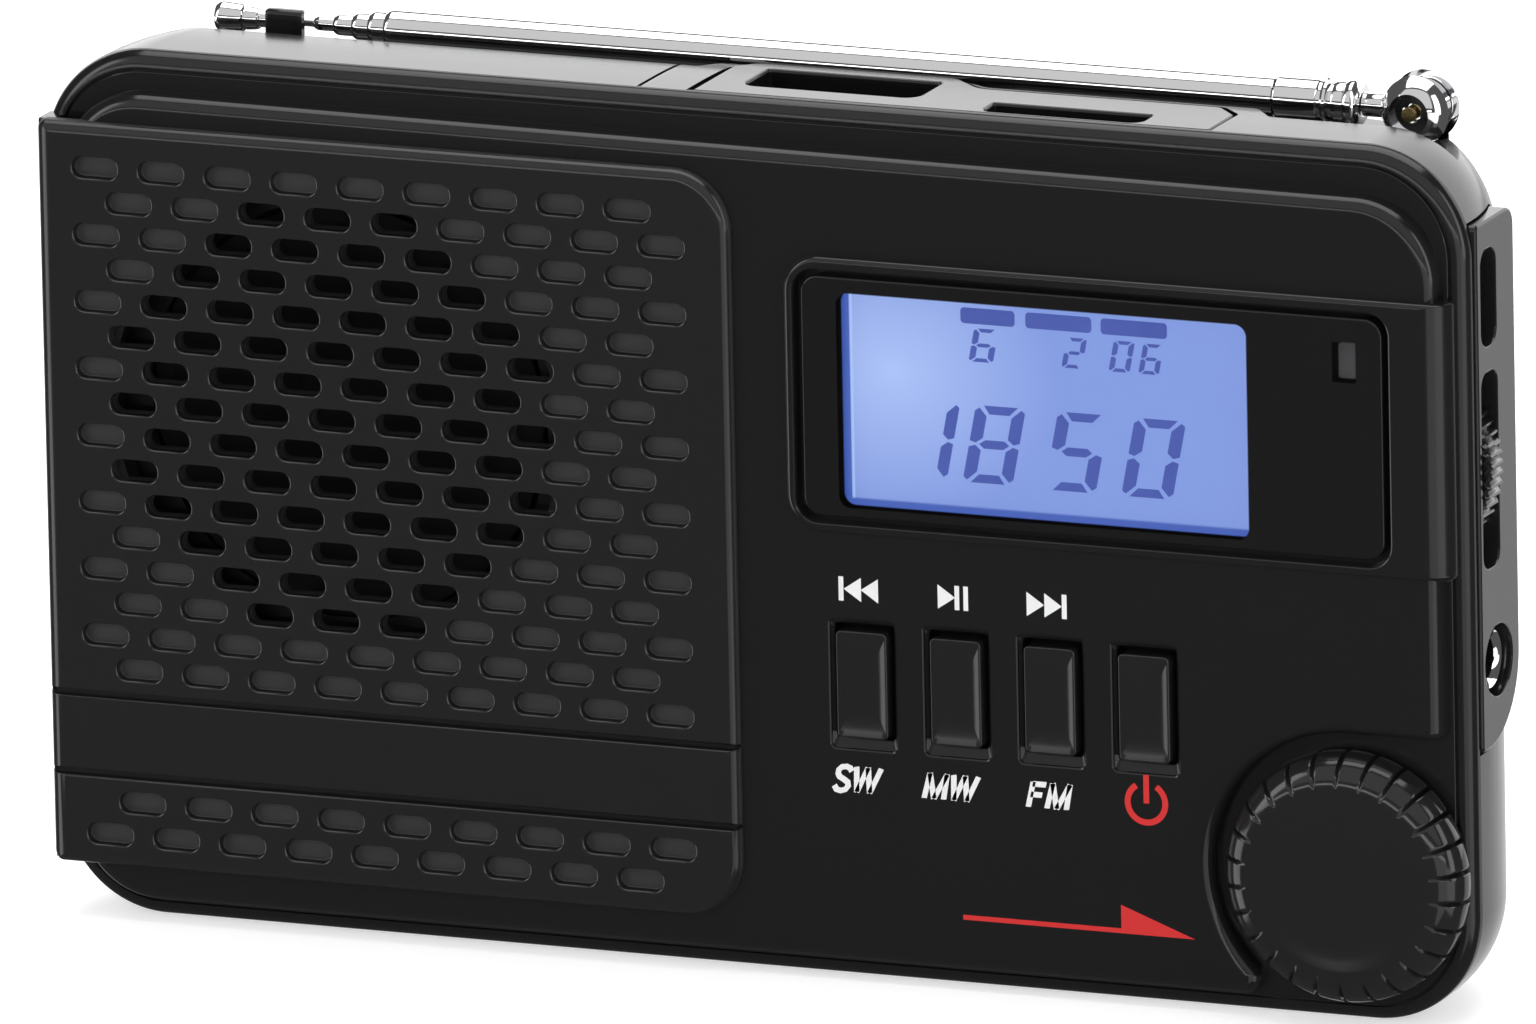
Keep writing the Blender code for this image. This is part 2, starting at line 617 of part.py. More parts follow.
card_top = socket_top
card_bottom = card_top - 11.2 * mm
card_front = board_depth - 0.2 * mm - 1.9 * mm
card_socket = put("card_socket", box(
    card_x - 7.0 * mm, card_x + 7.0 * mm, card_front, card_front + 1.9 * mm, card_bottom, card_top),
    bare_steel)
cut(card_socket, box(
    card_x - 5.6 * mm, card_x + 5.6 * mm, card_front + 0.45 * mm, card_front + 1.45 * mm,
    card_bottom + 1.2 * mm, card_top + over), "mouth")

# ---------------------------------------------------------------- side plate, wheel and side sockets
side_panel = put("side_panel", prism("X", rounded(
    plate_front, plate_back, plate_z0, plate_z1, plate_radii, 4), plate_x0, plate_face), black_trim)
charge_z = top - charge_down
jack_z = top - jack_down
plate_holes = prism("X", rounded(
    port_depth - 1.6 * mm, port_depth + 1.6 * mm, charge_z - 3.95 * mm, charge_z + 3.95 * mm,
    [1.0 * mm] * 4, 2), plate_x0 - over, plate_face + over)
prism("X", rounded(
    port_depth - wheel_thick / 2 - 0.2 * mm, port_depth + wheel_thick / 2 + 0.2 * mm,
    wheel_z - wheel_radius + 0.4 * mm, wheel_z + wheel_radius - 0.4 * mm, [1.0 * mm] * 4, 2),
    plate_x0 - over, plate_face + over, plate_holes)
prism("X", circle(jack_depth, jack_z, jack_radius + 0.3 * mm, 14), plate_x0 - over,
      plate_face + over, plate_holes)
cut(side_panel, plate_holes, "port_openings")

charge_x1 = plate_x0 - gap
charging_socket = put("charging_socket", prism("X", rounded(
    port_depth - charge_thick / 2, port_depth + charge_thick / 2, charge_z - charge_height / 2,
    charge_z + charge_height / 2, [0.5 * mm] * 4, 1), charge_x1 - 4.6 * mm, charge_x1), bare_steel)
charge_mouth = cut(charging_socket, box(
    charge_x1 - 3.8 * mm, charge_x1 + over, port_depth - charge_thick / 2 + 0.3 * mm,
    port_depth + charge_thick / 2 - 0.3 * mm, charge_z - charge_height / 2 + 0.3 * mm,
    charge_z + charge_height / 2 - 0.3 * mm), "mouth")
cut(charge_mouth, box(
    charge_x1 - 3.9 * mm - over, charge_x1 - 0.6 * mm, port_depth - 0.95 * mm, port_depth - 0.3 * mm,
    charge_z - 2.5 * mm, charge_z + 2.5 * mm), "tongue")

jack_x1 = plate_x0 - gap
headphone_jack = put("headphone_jack", box(
    jack_x1 - 11.4 * mm, jack_x1, jack_depth - 2.5 * mm, jack_depth + 1.9 * mm,
    jack_z - 3.0 * mm, jack_z + 3.0 * mm), black_trim)
put("headphone_jack_ring", turned("X", [
    (jack_radius, jack_x1 + gap), (jack_radius, plate_face - 0.7 * mm),
    (plug_radius, plate_face - 0.7 * mm), (plug_radius, jack_x1 + gap)], 14,
    (jack_depth, jack_z), True), chrome)
cut(headphone_jack, prism("X", circle(jack_depth, jack_z, plug_radius, 10),
                          jack_x1 - 9.8 * mm, jack_x1 + over), "plug_bore")

wheel_axis = pivot("volume_wheel_axis", (wheel_x, port_depth, wheel_z))
half_wheel = wheel_thick / 2
put("volume_wheel", turned("Y", [
    (1.55 * mm, -half_wheel), (wheel_radius - 0.3 * mm, -half_wheel),
    (wheel_radius, -half_wheel + 0.3 * mm), (wheel_radius, half_wheel - 0.3 * mm),
    (wheel_radius - 0.3 * mm, half_wheel), (1.55 * mm, half_wheel)], 28, (0.0, 0.0), True),
    black_trim, parent=wheel_axis)
pot_front = port_depth + half_wheel + gap
volume_control = put("volume_control", turned("Y", [
    (1.3 * mm, port_depth - half_wheel + 0.4 * mm), (1.3 * mm, pot_front), (4.7 * mm, pot_front),
    (4.7 * mm, pot_front + 2.3 * mm)], 14, (wheel_x, wheel_z)), green_board)
board_step_x = wheel_inner - screen_clear - 0.25 * mm
add(volume_control, box(board_step_x - 3.0 * mm, wheel_x, pot_front + 0.2 * mm, pot_front + 1.3 * mm,
                        wheel_z - 2.6 * mm, wheel_z + 2.6 * mm), "legs")

# ---------------------------------------------------------------- display
put("display_lens", block(
    lens_x0, lens_x1, lens_z0, lens_z1, [1.4 * mm] * 4,
    [(0.2 * mm, bezel_depth + gap), (0.0, bezel_depth + gap + 0.2 * mm),
     (0.0, bezel_depth + gap + lens_thick)], 3), clear_lens)
module_x0 = screen_x0 - 2.0 * mm
module_x1 = screen_x0 + screen_width + screen_edge
module_z0 = screen_z0 - 1.6 * mm
module_z1 = card_bottom - gap
glass_front = right_inner_face + gap
put("lcd_panel", box(module_x0, module_x1, glass_front, glass_front + 1.6 * mm, module_z0, module_z1),
    blue_screen)
put("backlight_panel", box(module_x0, module_x1, glass_front + 1.8 * mm, board_depth - 0.2 * mm,
                           module_z0, module_z1), milky_light)
put("indicator_lamp", turned("Y", [
    (0.7 * mm, right_inner_face - 0.6 * mm), (1.2 * mm, right_inner_face - 0.1 * mm),
    (1.2 * mm, board_depth - gap)], 10, (right - lamp_in, lamp_z)), milky_light)

# ---------------------------------------------------------------- main board
board_x0 = board_posts[0][0] - 3.6 * mm
board_low = 4.5 * mm
step_x = right - 20.0 * mm
end_x = right - side_wall - 0.9 * mm
notch_x0 = usb_x - usb_width / 2 - gap
notch_x1 = usb_x + usb_width / 2 + gap
notch_z = socket_top - usb_length - gap
high_z = top - 5.2 * mm
shelf_z = top - 12.6 * mm
board_outline = [
    (board_x0, 11.0 * mm), (step_x, 11.0 * mm), (step_x, board_low), (end_x - 5.0 * mm, board_low),
    (end_x, board_low + 5.0 * mm), (end_x, knob_z + 12.0 * mm), (jack_x1 - 11.7 * mm, knob_z + 12.0 * mm),
    (jack_x1 - 11.7 * mm, jack_z + 4.5 * mm), (board_step_x, jack_z + 4.5 * mm),
    (board_step_x, wheel_z + wheel_radius + 0.7 * mm),
    (charge_x1 - 4.9 * mm, wheel_z + wheel_radius + 0.7 * mm),
    (charge_x1 - 4.9 * mm, shelf_z), (case_posts[3][0] - 4.6 * mm, shelf_z),
    (case_posts[3][0] - 4.6 * mm, high_z), (notch_x1, high_z), (notch_x1, notch_z), (notch_x0, notch_z),
    (notch_x0, high_z), (board_x0, high_z)]
main_board = put("main_board", prism("Y", board_outline, board_depth, board_back), green_board)
board_holes = bmesh.new()
for x, z in board_posts:
    prism("Y", circle(x, z, small_screw + 0.4 * mm, 8), board_depth - over, board_back + over, board_holes)
cut(main_board, board_holes, "screw_holes")


# ---------------------------------------------------------------- screws
def screw(name, x, z, seat, tip, radius, head, head_thick):
    """A pan-head screw that enters from the back, with its head on the seat."""
    profile = [(radius * 0.5, tip), (radius, tip + radius), (radius, seat), (head, seat),
               (head, seat + head_thick * 0.6), (head * 0.6, seat + head_thick)]
    obj = put(name, turned("Y", profile, 10, (x, z)), bare_steel)
    slot = head * 0.16
    cut(obj, box(x - slot, x + slot, seat + head_thick * 0.5, seat + head_thick + over,
                 z - head * 0.45, z + head * 0.45), "drive_slot")
    return obj


for index, (x, z) in enumerate(board_posts):
    screw("board_screw_%d" % (index + 1), x, z, board_back + gap, board_depth - 2.2 * mm,
          small_screw, small_head, 1.4 * mm)
for index, (x, z) in enumerate(case_posts):
    screw("case_screw_%d" % (index + 1), x, z, head_seat + gap, 5.6 * mm, screw_radius, screw_head,
          1.9 * mm)
flange_back = left_inner_face + gap + 1.0 * mm
for index, (x, z) in enumerate(speaker_posts):
    screw("speaker_screw_%d" % (index + 1), x, z, flange_back + gap, 4.6 * mm, small_screw,
          small_head + 0.4 * mm, 1.2 * mm)

# ---------------------------------------------------------------- keys and their switches
key_names = ["previous_key", "play_key", "next_key", "power_key"]
key_front = face_depth - 0.2 * mm
flange_front = right_inner_face + gap
for index, (name, key_x) in enumerate(zip(key_names, key_xs)):
    key_axis = pivot(name + "_axis", (key_x, key_front, key_z))
    half_w = key_width / 2
    half_h = key_height / 2
    cap = put(name, loft("Y", [
        (0.0, rounded(-half_w + 0.3 * mm, half_w - 0.3 * mm, -half_h + 0.3 * mm, half_h - 0.3 * mm,
                      [0.5 * mm] * 4, 2)),
        (0.4 * mm, rounded(-half_w, half_w, -half_h, half_h, [0.6 * mm] * 4, 2)),
        (flange_front + 0.1 * mm - key_front, rounded(-half_w, half_w, -half_h, half_h,
                                                      [0.6 * mm] * 4, 2))]),
        black_trim, parent=key_axis)
    half_w = well_width / 2 + 0.2 * mm
    half_h = well_height / 2 - 0.1 * mm
    add(cap, box(-half_w, half_w, flange_front - key_front, flange_front - key_front + 0.7 * mm,
                 -half_h, half_h), "flange")
    add(cap, prism("Y", circle(0.0, 0.0, 1.2 * mm, 8), flange_front - key_front + 0.5 * mm,
                   flange_front - key_front + 1.2 * mm), "stem")
    dish = [(-22.0 * mm * cos(radians(a)) + 21.6 * mm, 22.0 * mm * sin(radians(a)))
            for a in (-10, -6, -2, 2, 6, 10)]
    cut(cap, prism("X", dish, -over, over), "dish")
    switch_front = board_depth - gap - 0.9 * mm
    put("key_switch_%d" % (index + 1), turned("Y", [
        (1.6 * mm, flange_front + 1.2 * mm + key_travel + 0.1 * mm), (1.6 * mm, switch_front),
        (2.9 * mm, switch_front), (2.9 * mm, board_depth - gap)], 8, (key_x, key_z)), black_trim)

# ---------------------------------------------------------------- tuning knob, shaft and encoder
knob_axis = pivot("tuning_knob_axis", (knob_x, 0.0, knob_z))
knob_back = rim_depth - 0.35 * mm
put("tuning_knob", turned("Y", [
    (2.4 * mm, -knob_proud + 0.45 * mm), (knob_face_radius, -knob_proud),
    (knob_face_radius + 1.5 * mm, -knob_proud + 0.35 * mm), (knob_radius - 0.45 * mm, 0.0),
    (knob_radius, face_depth), (knob_radius - 0.2 * mm, knob_back), (3.0 * mm, knob_back),
    (3.0 * mm, parting + 0.2 * mm), (shaft_radius, parting + 0.2 * mm),
    (shaft_radius, board_depth - 0.6 * mm)], 26), black_trim, parent=knob_axis)
encoder_front = parting + 0.6 * mm
tuning_encoder = put("tuning_encoder", box(
    knob_x - 5.6 * mm, knob_x + 5.6 * mm, encoder_front, board_depth - gap, knob_z - 5.6 * mm,
    knob_z + 5.6 * mm), bare_steel)
cut(tuning_encoder, prism("Y", circle(knob_x, knob_z, shaft_radius + 0.25 * mm, 12),
                          parting - over, board_depth - 0.4 * mm), "shaft_bore")

# ---------------------------------------------------------------- speaker
basket_front = left_inner_face + gap
basket_back = basket_front + 5.7 * mm
speaker_center = (speaker_x, speaker_z)
put("speaker_basket", turned("Y", [
    (speaker_radius, basket_front), (speaker_radius, basket_front + 1.0 * mm),
    (speaker_radius - 1.4 * mm, basket_front + 1.0 * mm), (magnet_radius, basket_back),
    (6.5 * mm, basket_back), (6.5 * mm, basket_back - 0.8 * mm),
    (magnet_radius - 0.7 * mm, basket_back - 0.8 * mm),
    (speaker_radius - 2.6 * mm, basket_front + 0.7 * mm), (speaker_radius - 2.6 * mm, basket_front)],
    24, speaker_center, True), bare_steel)
put("speaker_magnet", turned("Y", [
    (magnet_radius - 0.4 * mm, basket_back + gap), (magnet_radius, basket_back + gap + 0.4 * mm),
    (magnet_radius, basket_back + gap + magnet_thick),
    (magnet_radius - 1.5 * mm, basket_back + gap + magnet_thick)], 20, speaker_center), bare_steel)
put("speaker_cone", turned("Y", [
    (2.6 * mm, basket_back - 2.4 * mm), (6.0 * mm, basket_back - 1.8 * mm),
    (speaker_radius - 4.4 * mm, basket_front), (speaker_radius - 3.0 * mm, basket_front),
    (speaker_radius - 3.0 * mm, basket_front + 0.4 * mm), (6.0 * mm, basket_back - 1.2 * mm),
    (3.0 * mm, basket_back - 1.7 * mm)], 20, speaker_center), paper_cone)
wire_ends = [("speaker_wire_red", red_sleeve, 5.0 * mm), ("speaker_wire_black", black_sleeve, 2.4 * mm)]
for name, sleeve, lift in wire_ends:
    wire = bpy.data.curves.new(name, "CURVE")
    wire.dimensions = "3D"
    wire.bevel_depth = 0.55 * mm
    wire.bevel_resolution = 1
    wire.use_fill_caps = True
    start = (speaker_x + 11.9 * mm, basket_back + 0.5 * mm, speaker_z + lift)
    end = (board_x0 + 3.0 * mm, board_back + 1.0 * mm, speaker_z + lift - 3.0 * mm)
    spline = wire.splines.new("POLY")
    spline.points.add(12)
    for k, point in enumerate(spline.points):
        t = k / 12
        ease = t * t * (3 - 2 * t)
        sag = 2.2 * mm * sin(pi * t)
        point.co = (start[0] + (end[0] - start[0]) * t, start[1] + (end[1] - start[1]) * ease + sag,
                    start[2] + (end[2] - start[2]) * ease, 1.0)
    wire.materials.append(sleeve)
    wire_object = bpy.data.objects.new(name, wire)
    wire_object.parent = case_frame
    bpy.context.collection.objects.link(wire_object)

# ---------------------------------------------------------------- ferrite rod and coil
rod_front = 8.6 * mm
rod_x0 = left + 8.0 * mm
rod_length = 41.5 * mm
put("ferrite_rod", block(
    rod_x0, rod_x0 + rod_length, rod_z - 3.5 * mm, rod_z + 3.5 * mm, [1.0 * mm] * 4,
    [(0.0, rod_front), (0.0, rod_front + 4.0 * mm)], 2), ferrite)
ferrite_coil = put("ferrite_coil", box(
    rod_x0 + 16.0 * mm, rod_x0 + 28.0 * mm, rod_front - 0.9 * mm, rod_front + 4.9 * mm,
    rod_z - 4.4 * mm, rod_z + 4.4 * mm), copper_wire)
cut(ferrite_coil, box(
    rod_x0, rod_x0 + rod_length, rod_front - 0.3 * mm, rod_front + 4.3 * mm, rod_z - 3.8 * mm,
    rod_z + 3.8 * mm), "core")

# ---------------------------------------------------------------- antenna
clip_front = antenna_depth - section_radii[1] - 0.13 * mm
clip_floor = antenna_z - section_radii[1] - 0.13 * mm
clip_profile = [
    (clip_front, ledge_z - 0.9 * mm), (clip_front + 2.4 * mm, ledge_z - 0.9 * mm),
    (clip_front + 2.4 * mm, clip_floor), (clip_front, clip_floor),
    (clip_front, antenna_z + 1.1 * mm), (clip_front + 0.2 * mm, antenna_z + 1.4 * mm),
    (clip_front - 0.6 * mm, antenna_z + 1.4 * mm), (clip_front - 0.9 * mm, antenna_z + 1.1 * mm),
    (clip_front - 0.9 * mm, ledge_z + 0.3 * mm), (clip_front, ledge_z + 0.3 * mm)]
put("antenna_clip", prism("X", clip_profile, clip_x - clip_width / 2, clip_x + clip_width / 2), black_trim)

swivel_axis = pivot("antenna_swivel_axis", (ball_x, antenna_depth, antenna_z))
sphere = [(ball_radius * cos(radians(a)), ball_radius * sin(radians(a)))
          for a in (-80, -60, -40, -20, 0, 20, 40, 60, 80)]
antenna_swivel = put("antenna_swivel", turned("Z", sphere, 16), chrome, parent=swivel_axis)
foot_top = -ball_radius + 0.9 * mm
foot_bottom = top - 4.7 * mm - antenna_z
add(antenna_swivel, turned("Z", [(2.3 * mm, foot_bottom), (2.3 * mm, foot_top)], 14), "foot")
cut(antenna_swivel, box(-2 * over, 2 * over, -1.2 * mm, 1.2 * mm, -2.6 * mm, 2 * over), "fork_slot")
cut(antenna_swivel, prism("Y", circle(0.0, 0.0, 0.8 * mm, 10), -2 * over, 2 * over), "pin_hole")
cut(antenna_swivel, prism("Z", circle(0.0, 0.0, 0.95 * mm, 8), foot_bottom - over, -3.0 * mm),
    "screw_bore")
put("antenna_screw", turned("Z", [
    (1.8 * mm, top - 10.9 * mm - antenna_z), (1.8 * mm, top - 9.6 * mm - antenna_z),
    (0.7 * mm, top - 9.6 * mm - antenna_z), (0.7 * mm, foot_bottom + 1.2 * mm)], 10), bare_steel,
    parent=swivel_axis)
put("antenna_pin", turned("Y", [(0.6 * mm, -2.6 * mm), (0.6 * mm, 2.6 * mm)], 10), brass,
    parent=swivel_axis)

elbow_axis = pivot("antenna_elbow_axis", (0.0, 0.0, 0.0), swivel_axis)
tube_end = right - tube_start_in - ball_x
collar_end = tube_end + collar_length
antenna_elbow = put("antenna_elbow", turned("Y", [(2.3 * mm, -1.0 * mm), (2.3 * mm, 1.0 * mm)], 16),
                    chrome, parent=elbow_axis)
add(antenna_elbow, turned("X", [(1.0 * mm, collar_end + gap), (1.0 * mm, -1.4 * mm)], 10), "neck")
cut(antenna_elbow, prism("Y", circle(0.0, 0.0, 0.75 * mm, 10), -over, over), "pin_hole")

main_radius = section_radii[0]
bore_radius = main_radius - section_walls[0]
put("antenna_collar", turned("X", [
    (bore_radius - 0.12 * mm, tube_end - 2.0 * mm), (bore_radius - 0.12 * mm, tube_end + 0.1 * mm),
    (main_radius + 0.1 * mm, tube_end + 0.4 * mm), (main_radius + 0.1 * mm, tube_end + 3.6 * mm),
    (main_radius - 0.1 * mm, tube_end + 3.9 * mm), (main_radius + 0.35 * mm, tube_end + 4.4 * mm),
    (main_radius - 0.05 * mm, tube_end + 4.9 * mm), (main_radius + 0.1 * mm, tube_end + 5.6 * mm),
    (main_radius + 0.1 * mm, tube_end + 6.0 * mm), (main_radius + 0.35 * mm, tube_end + 6.4 * mm),
    (main_radius + 0.35 * mm, tube_end + 7.0 * mm), (1.3 * mm, collar_end)], 12), chrome,
    parent=elbow_axis)
section_parent = elbow_axis
section_tip = tube_end - tube_length
section_start = tube_end
for index, radius in enumerate(section_radii):
    if index:
        section_tip -= section_steps[index - 1]
        section_start = tube_end - 2.6 * mm - index * 1.0 * mm
        section_parent = pivot("antenna_slide_%d" % (index + 1), (0.0, 0.0, 0.0), section_parent)
    if index < len(section_walls):
        inner = radius - section_walls[index]
        tube = turned("X", [(radius, section_start), (radius, section_tip), (inner, section_tip),
                            (inner, section_start)], 12, (0.0, 0.0), True)
    else:
        tube = turned("X", [(radius, section_start), (radius, section_tip)], 12)
    put("antenna_section_%d" % (index + 1), tube, chrome, parent=section_parent)
put("antenna_tip", turned("X", [
    (tip_radius * 0.75, section_tip - gap), (tip_radius, section_tip - 0.4 * mm - gap),
    (tip_radius, section_tip + 0.5 * mm - tip_length), (tip_radius * 0.6, section_tip - tip_length)],
    12), chrome, parent=section_parent)
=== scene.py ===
from math import acos, atan2, cos, pi, radians, sin, tan

import bmesh
import bpy
import numpy as np
from mathutils import Matrix, Vector
from mathutils.geometry import delaunay_2d_cdt


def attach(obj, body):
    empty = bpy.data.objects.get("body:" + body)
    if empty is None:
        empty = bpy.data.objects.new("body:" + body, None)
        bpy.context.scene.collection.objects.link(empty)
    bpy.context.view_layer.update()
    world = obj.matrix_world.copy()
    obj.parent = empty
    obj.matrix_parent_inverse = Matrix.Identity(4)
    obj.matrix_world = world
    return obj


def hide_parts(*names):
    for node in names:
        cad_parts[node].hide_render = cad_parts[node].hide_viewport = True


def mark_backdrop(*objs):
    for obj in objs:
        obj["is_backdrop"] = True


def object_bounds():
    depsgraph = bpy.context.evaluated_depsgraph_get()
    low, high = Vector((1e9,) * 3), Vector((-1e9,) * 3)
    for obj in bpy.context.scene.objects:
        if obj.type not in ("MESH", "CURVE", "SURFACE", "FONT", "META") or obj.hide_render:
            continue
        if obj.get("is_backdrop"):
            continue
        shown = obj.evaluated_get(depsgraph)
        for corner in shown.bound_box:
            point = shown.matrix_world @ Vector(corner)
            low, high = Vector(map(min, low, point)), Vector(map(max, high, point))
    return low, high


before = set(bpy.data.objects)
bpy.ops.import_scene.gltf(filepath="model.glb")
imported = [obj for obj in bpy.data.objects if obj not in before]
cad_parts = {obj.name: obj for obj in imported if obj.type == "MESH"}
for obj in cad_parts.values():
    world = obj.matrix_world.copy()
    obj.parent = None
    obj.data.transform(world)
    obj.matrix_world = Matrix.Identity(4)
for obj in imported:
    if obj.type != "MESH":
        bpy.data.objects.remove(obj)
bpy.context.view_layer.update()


# ------------------------ front shell
# The face half of the case, moulded in satin black plastic: a rounded rim, a sunk band, and a raised
# pad with the display frame, the key wells and the knob's hollow. Shapes are drawn in millimetres,
# with depth measured back from the face of the grille.
mm = 0.001
grille_face = 11.5 * mm
case_side, case_top, case_corner = 61.6, 71.8, 9.0


def outline(corners, steps=10):
    """Points round a closed polygon: each corner (a, b, radius) becomes the arc of that radius
    that touches both its sides, and a corner of radius 0 stays a point."""
    points = []
    count = len(corners)
    for i, (a, b, radius) in enumerate(corners):
        corner = np.array((a, b), float)
        if radius <= 0:
            points.append(corner)
            continue
        before = np.array(corners[i - 1][:2], float) - corner
        after = np.array(corners[(i + 1) % count][:2], float) - corner
        before /= np.linalg.norm(before)
        after /= np.linalg.norm(after)
        half = acos(np.clip(before @ after, -1, 1)) / 2
        middle = (before + after) / np.linalg.norm(before + after)
        center = corner + middle * radius / sin(half)
        start = corner + before * radius / tan(half) - center
        end = corner + after * radius / tan(half) - center
        first = atan2(start[1], start[0])
        sweep = (atan2(end[1], end[0]) - first + pi) % (2 * pi) - pi
        for k in range(steps + 1):
            angle = first + sweep * k / steps
            points.append(center + radius * np.array((cos(angle), sin(angle))))
    return np.array(points)


def rectangle(a0, a1, b0, b1, radius, steps=8):
    """A rectangle with arcs at its corners, counter-clockwise."""
    return outline([(a0, b0, radius), (a1, b0, radius), (a1, b1, radius), (a0, b1, radius)], steps)


def ring_points(a, b, radius, count=64):
    """A circle's points."""
    turn = np.arange(count) * 2 * pi / count
    return np.stack([a + radius * np.cos(turn), b + radius * np.sin(turn)], 1)


def grow(line, by):
    """The outline moved along its own mitred normals; by is one distance, or the four for the
    parts that face left, right, down and up."""
    ahead = np.roll(line, -1, 0) - line
    behind = line - np.roll(line, 1, 0)
    ahead /= np.linalg.norm(ahead, axis=1)[:, None]
    behind /= np.linalg.norm(behind, axis=1)[:, None]
    n0 = np.stack([behind[:, 1], -behind[:, 0]], 1)
    n1 = np.stack([ahead[:, 1], -ahead[:, 0]], 1)
    normal = (n0 + n1) / (1 + (n0 * n1).sum(1))[:, None]
    if np.isscalar(by):
        return line + normal * by
    left, right, down, up = by
    across = np.where(normal[:, 0] < 0, left, right)
    along = np.where(normal[:, 1] < 0, down, up)
    moved = line + normal * np.stack([across, along], 1)
    return np.clip(moved, line.min(0) - (left, down), line.max(0) + (right, up))


class Skin:
    """The points and faces of one piece. A point is (a, b, c), which a view of the case turns
    into across, back and up: the front view draws x and z, the top x and depth, the side depth and z."""

    def __init__(self, view="front"):
        self.view = view
        self.points = []
        self.faces = []

    def ring(self, line, depth):
        """Adds a closed row of points at one depth, or at a depth each, and returns their numbers."""
        start = len(self.points)
        depths = np.broadcast_to(depth, len(line))
        self.points += [(a, b, c) for (a, b), c in zip(line, depths)]
        return list(range(start, len(self.points)))

    def wall(self, *rings):
        """Joins rows of points with quads."""
        for low, high in zip(rings, rings[1:]):
            for i in range(len(low)):
                j = (i + 1) % len(low)
                self.faces.append((low[i], low[j], high[j], high[i]))

    def solid(self, *rings):
        """A closed shape: the rows joined, and the first and the last filled in."""
        self.wall(*rings)
        self.fill(rings[0])
        self.fill(rings[-1])

    def sweep(self, line, profile):
        """Rows of points that follow the outline at each (growth, depth) of a profile."""
        rings = [self.ring(grow(line, by) if by else line, depth) for by, depth in profile]
        self.wall(*rings)
        return rings[0], rings[-1]

    def crown(self, line, face, radii, steps, foot):
        """A quarter-round edge from the outline up to the face. Its radius differs on the parts
        that face left, right, down and up. Returns its foot and its inner row."""
        rows = [self.ring(line, foot)]
        for k in range(steps + 1):
            turn = radians(90.0 * k / steps)
            moved = grow(line, tuple(-r * (1 - cos(turn)) for r in radii))
            normal = grow(line, 1.0) - line
            normal /= np.linalg.norm(normal, axis=1)[:, None]
            across = np.where(normal[:, 0] < 0, radii[0], radii[1])
            along = np.where(normal[:, 1] < 0, radii[2], radii[3])
            weight = normal[:, 0] ** 2
            drop = weight * across + (1 - weight) * along
            rows.append(self.ring(moved, face + drop * (1 - sin(turn))))
        self.wall(*rows)
        return rows[0], rows[-1]

    def fill(self, outer, *holes):
        """Flat triangles between an outer row of points and the rows round its holes: those whose
        middle is inside an odd number of the rows are kept."""
        if not holes:
            self.faces.append(list(outer))
            return
        loops = [outer, *holes]
        numbers = [i for loop in loops for i in loop]
        middle = np.mean([self.points[i][:2] for i in outer], 0)
        flat = [Vector(self.points[i][:2] - middle) for i in numbers]
        edges = []
        start = 0
        for loop in loops:
            edges += [(start + i, start + (i + 1) % len(loop)) for i in range(len(loop))]
            start += len(loop)
        found, _, triangles, origin, _, _ = delaunay_2d_cdt(flat, edges, [], 0, 1e-6)
        spots = np.array(found)
        across, along = spots[np.array(triangles)].mean(1).T[:, :, None]
        start, end = np.array(flat)[np.array(edges)].transpose(1, 2, 0)
        rise = np.where(end[1] == start[1], 1.0, end[1] - start[1])
        reach = start[0] + (along - start[1]) * (end[0] - start[0]) / rise
        crossings = ((start[1] > along) != (end[1] > along)) & (across < reach)
        for face, count in zip(triangles, crossings.sum(1)):
            if count % 2 == 1:
                self.faces.append([numbers[origin[i][0]] for i in face])

    def place(self):
        """The points in the row frame, in metres."""
        p = np.array(self.points, float)
        order = {"front": (0, 2, 1), "top": (0, 1, 2), "side": (2, 0, 1)}[self.view]
        world = p[:, order] * mm
        world[:, 1] -= grille_face
        return world

    def make(self, name, material, body, record_slot, nodes=(), sharp=40):
        """The finished object of the piece."""
        mesh = surface(name, self.place().tolist(), self.faces)
        return finish_piece(name, mesh, material, body, nodes, sharp)


def surface(name, points, faces):
    """A mesh of points and faces."""
    mesh = bpy.data.meshes.new(name)
    mesh.from_pydata(points, [], faces)
    return mesh


def close_seams(mesh):
    """Merges doubled points and turns the faces outwards."""
    bm = bmesh.new()
    bm.from_mesh(mesh)
    bmesh.ops.remove_doubles(bm, verts=bm.verts, dist=1e-7)
    bmesh.ops.recalc_face_normals(bm, faces=bm.faces)
    bm.to_mesh(mesh)
    bm.free()


def add_object(name, data):
    """An object in the scene, at the origin."""
    obj = bpy.data.objects.new(name, data)
    bpy.context.scene.collection.objects.link(obj)
    return obj


def set_finish(mesh, material, sharp):
    """Gives a mesh its one material, and smooth shading except over edges past the sharp angle."""
    mesh.materials.clear()
    mesh.materials.append(material)
    mesh.shade_smooth()
    mesh.set_sharp_from_angle(angle=radians(sharp))


def finish_piece(name, mesh, material, body, nodes=(), sharp=40):
    """Closes the seams, points the faces out, and hands the object to its CAD body."""
    close_seams(mesh)
    set_finish(mesh, material, sharp)
    obj = add_object(name, mesh)
    obj.modifiers.new("even_shading", "WEIGHTED_NORMAL").keep_sharp = True
    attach(obj, body)
    if nodes:
        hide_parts(*nodes)
    return obj


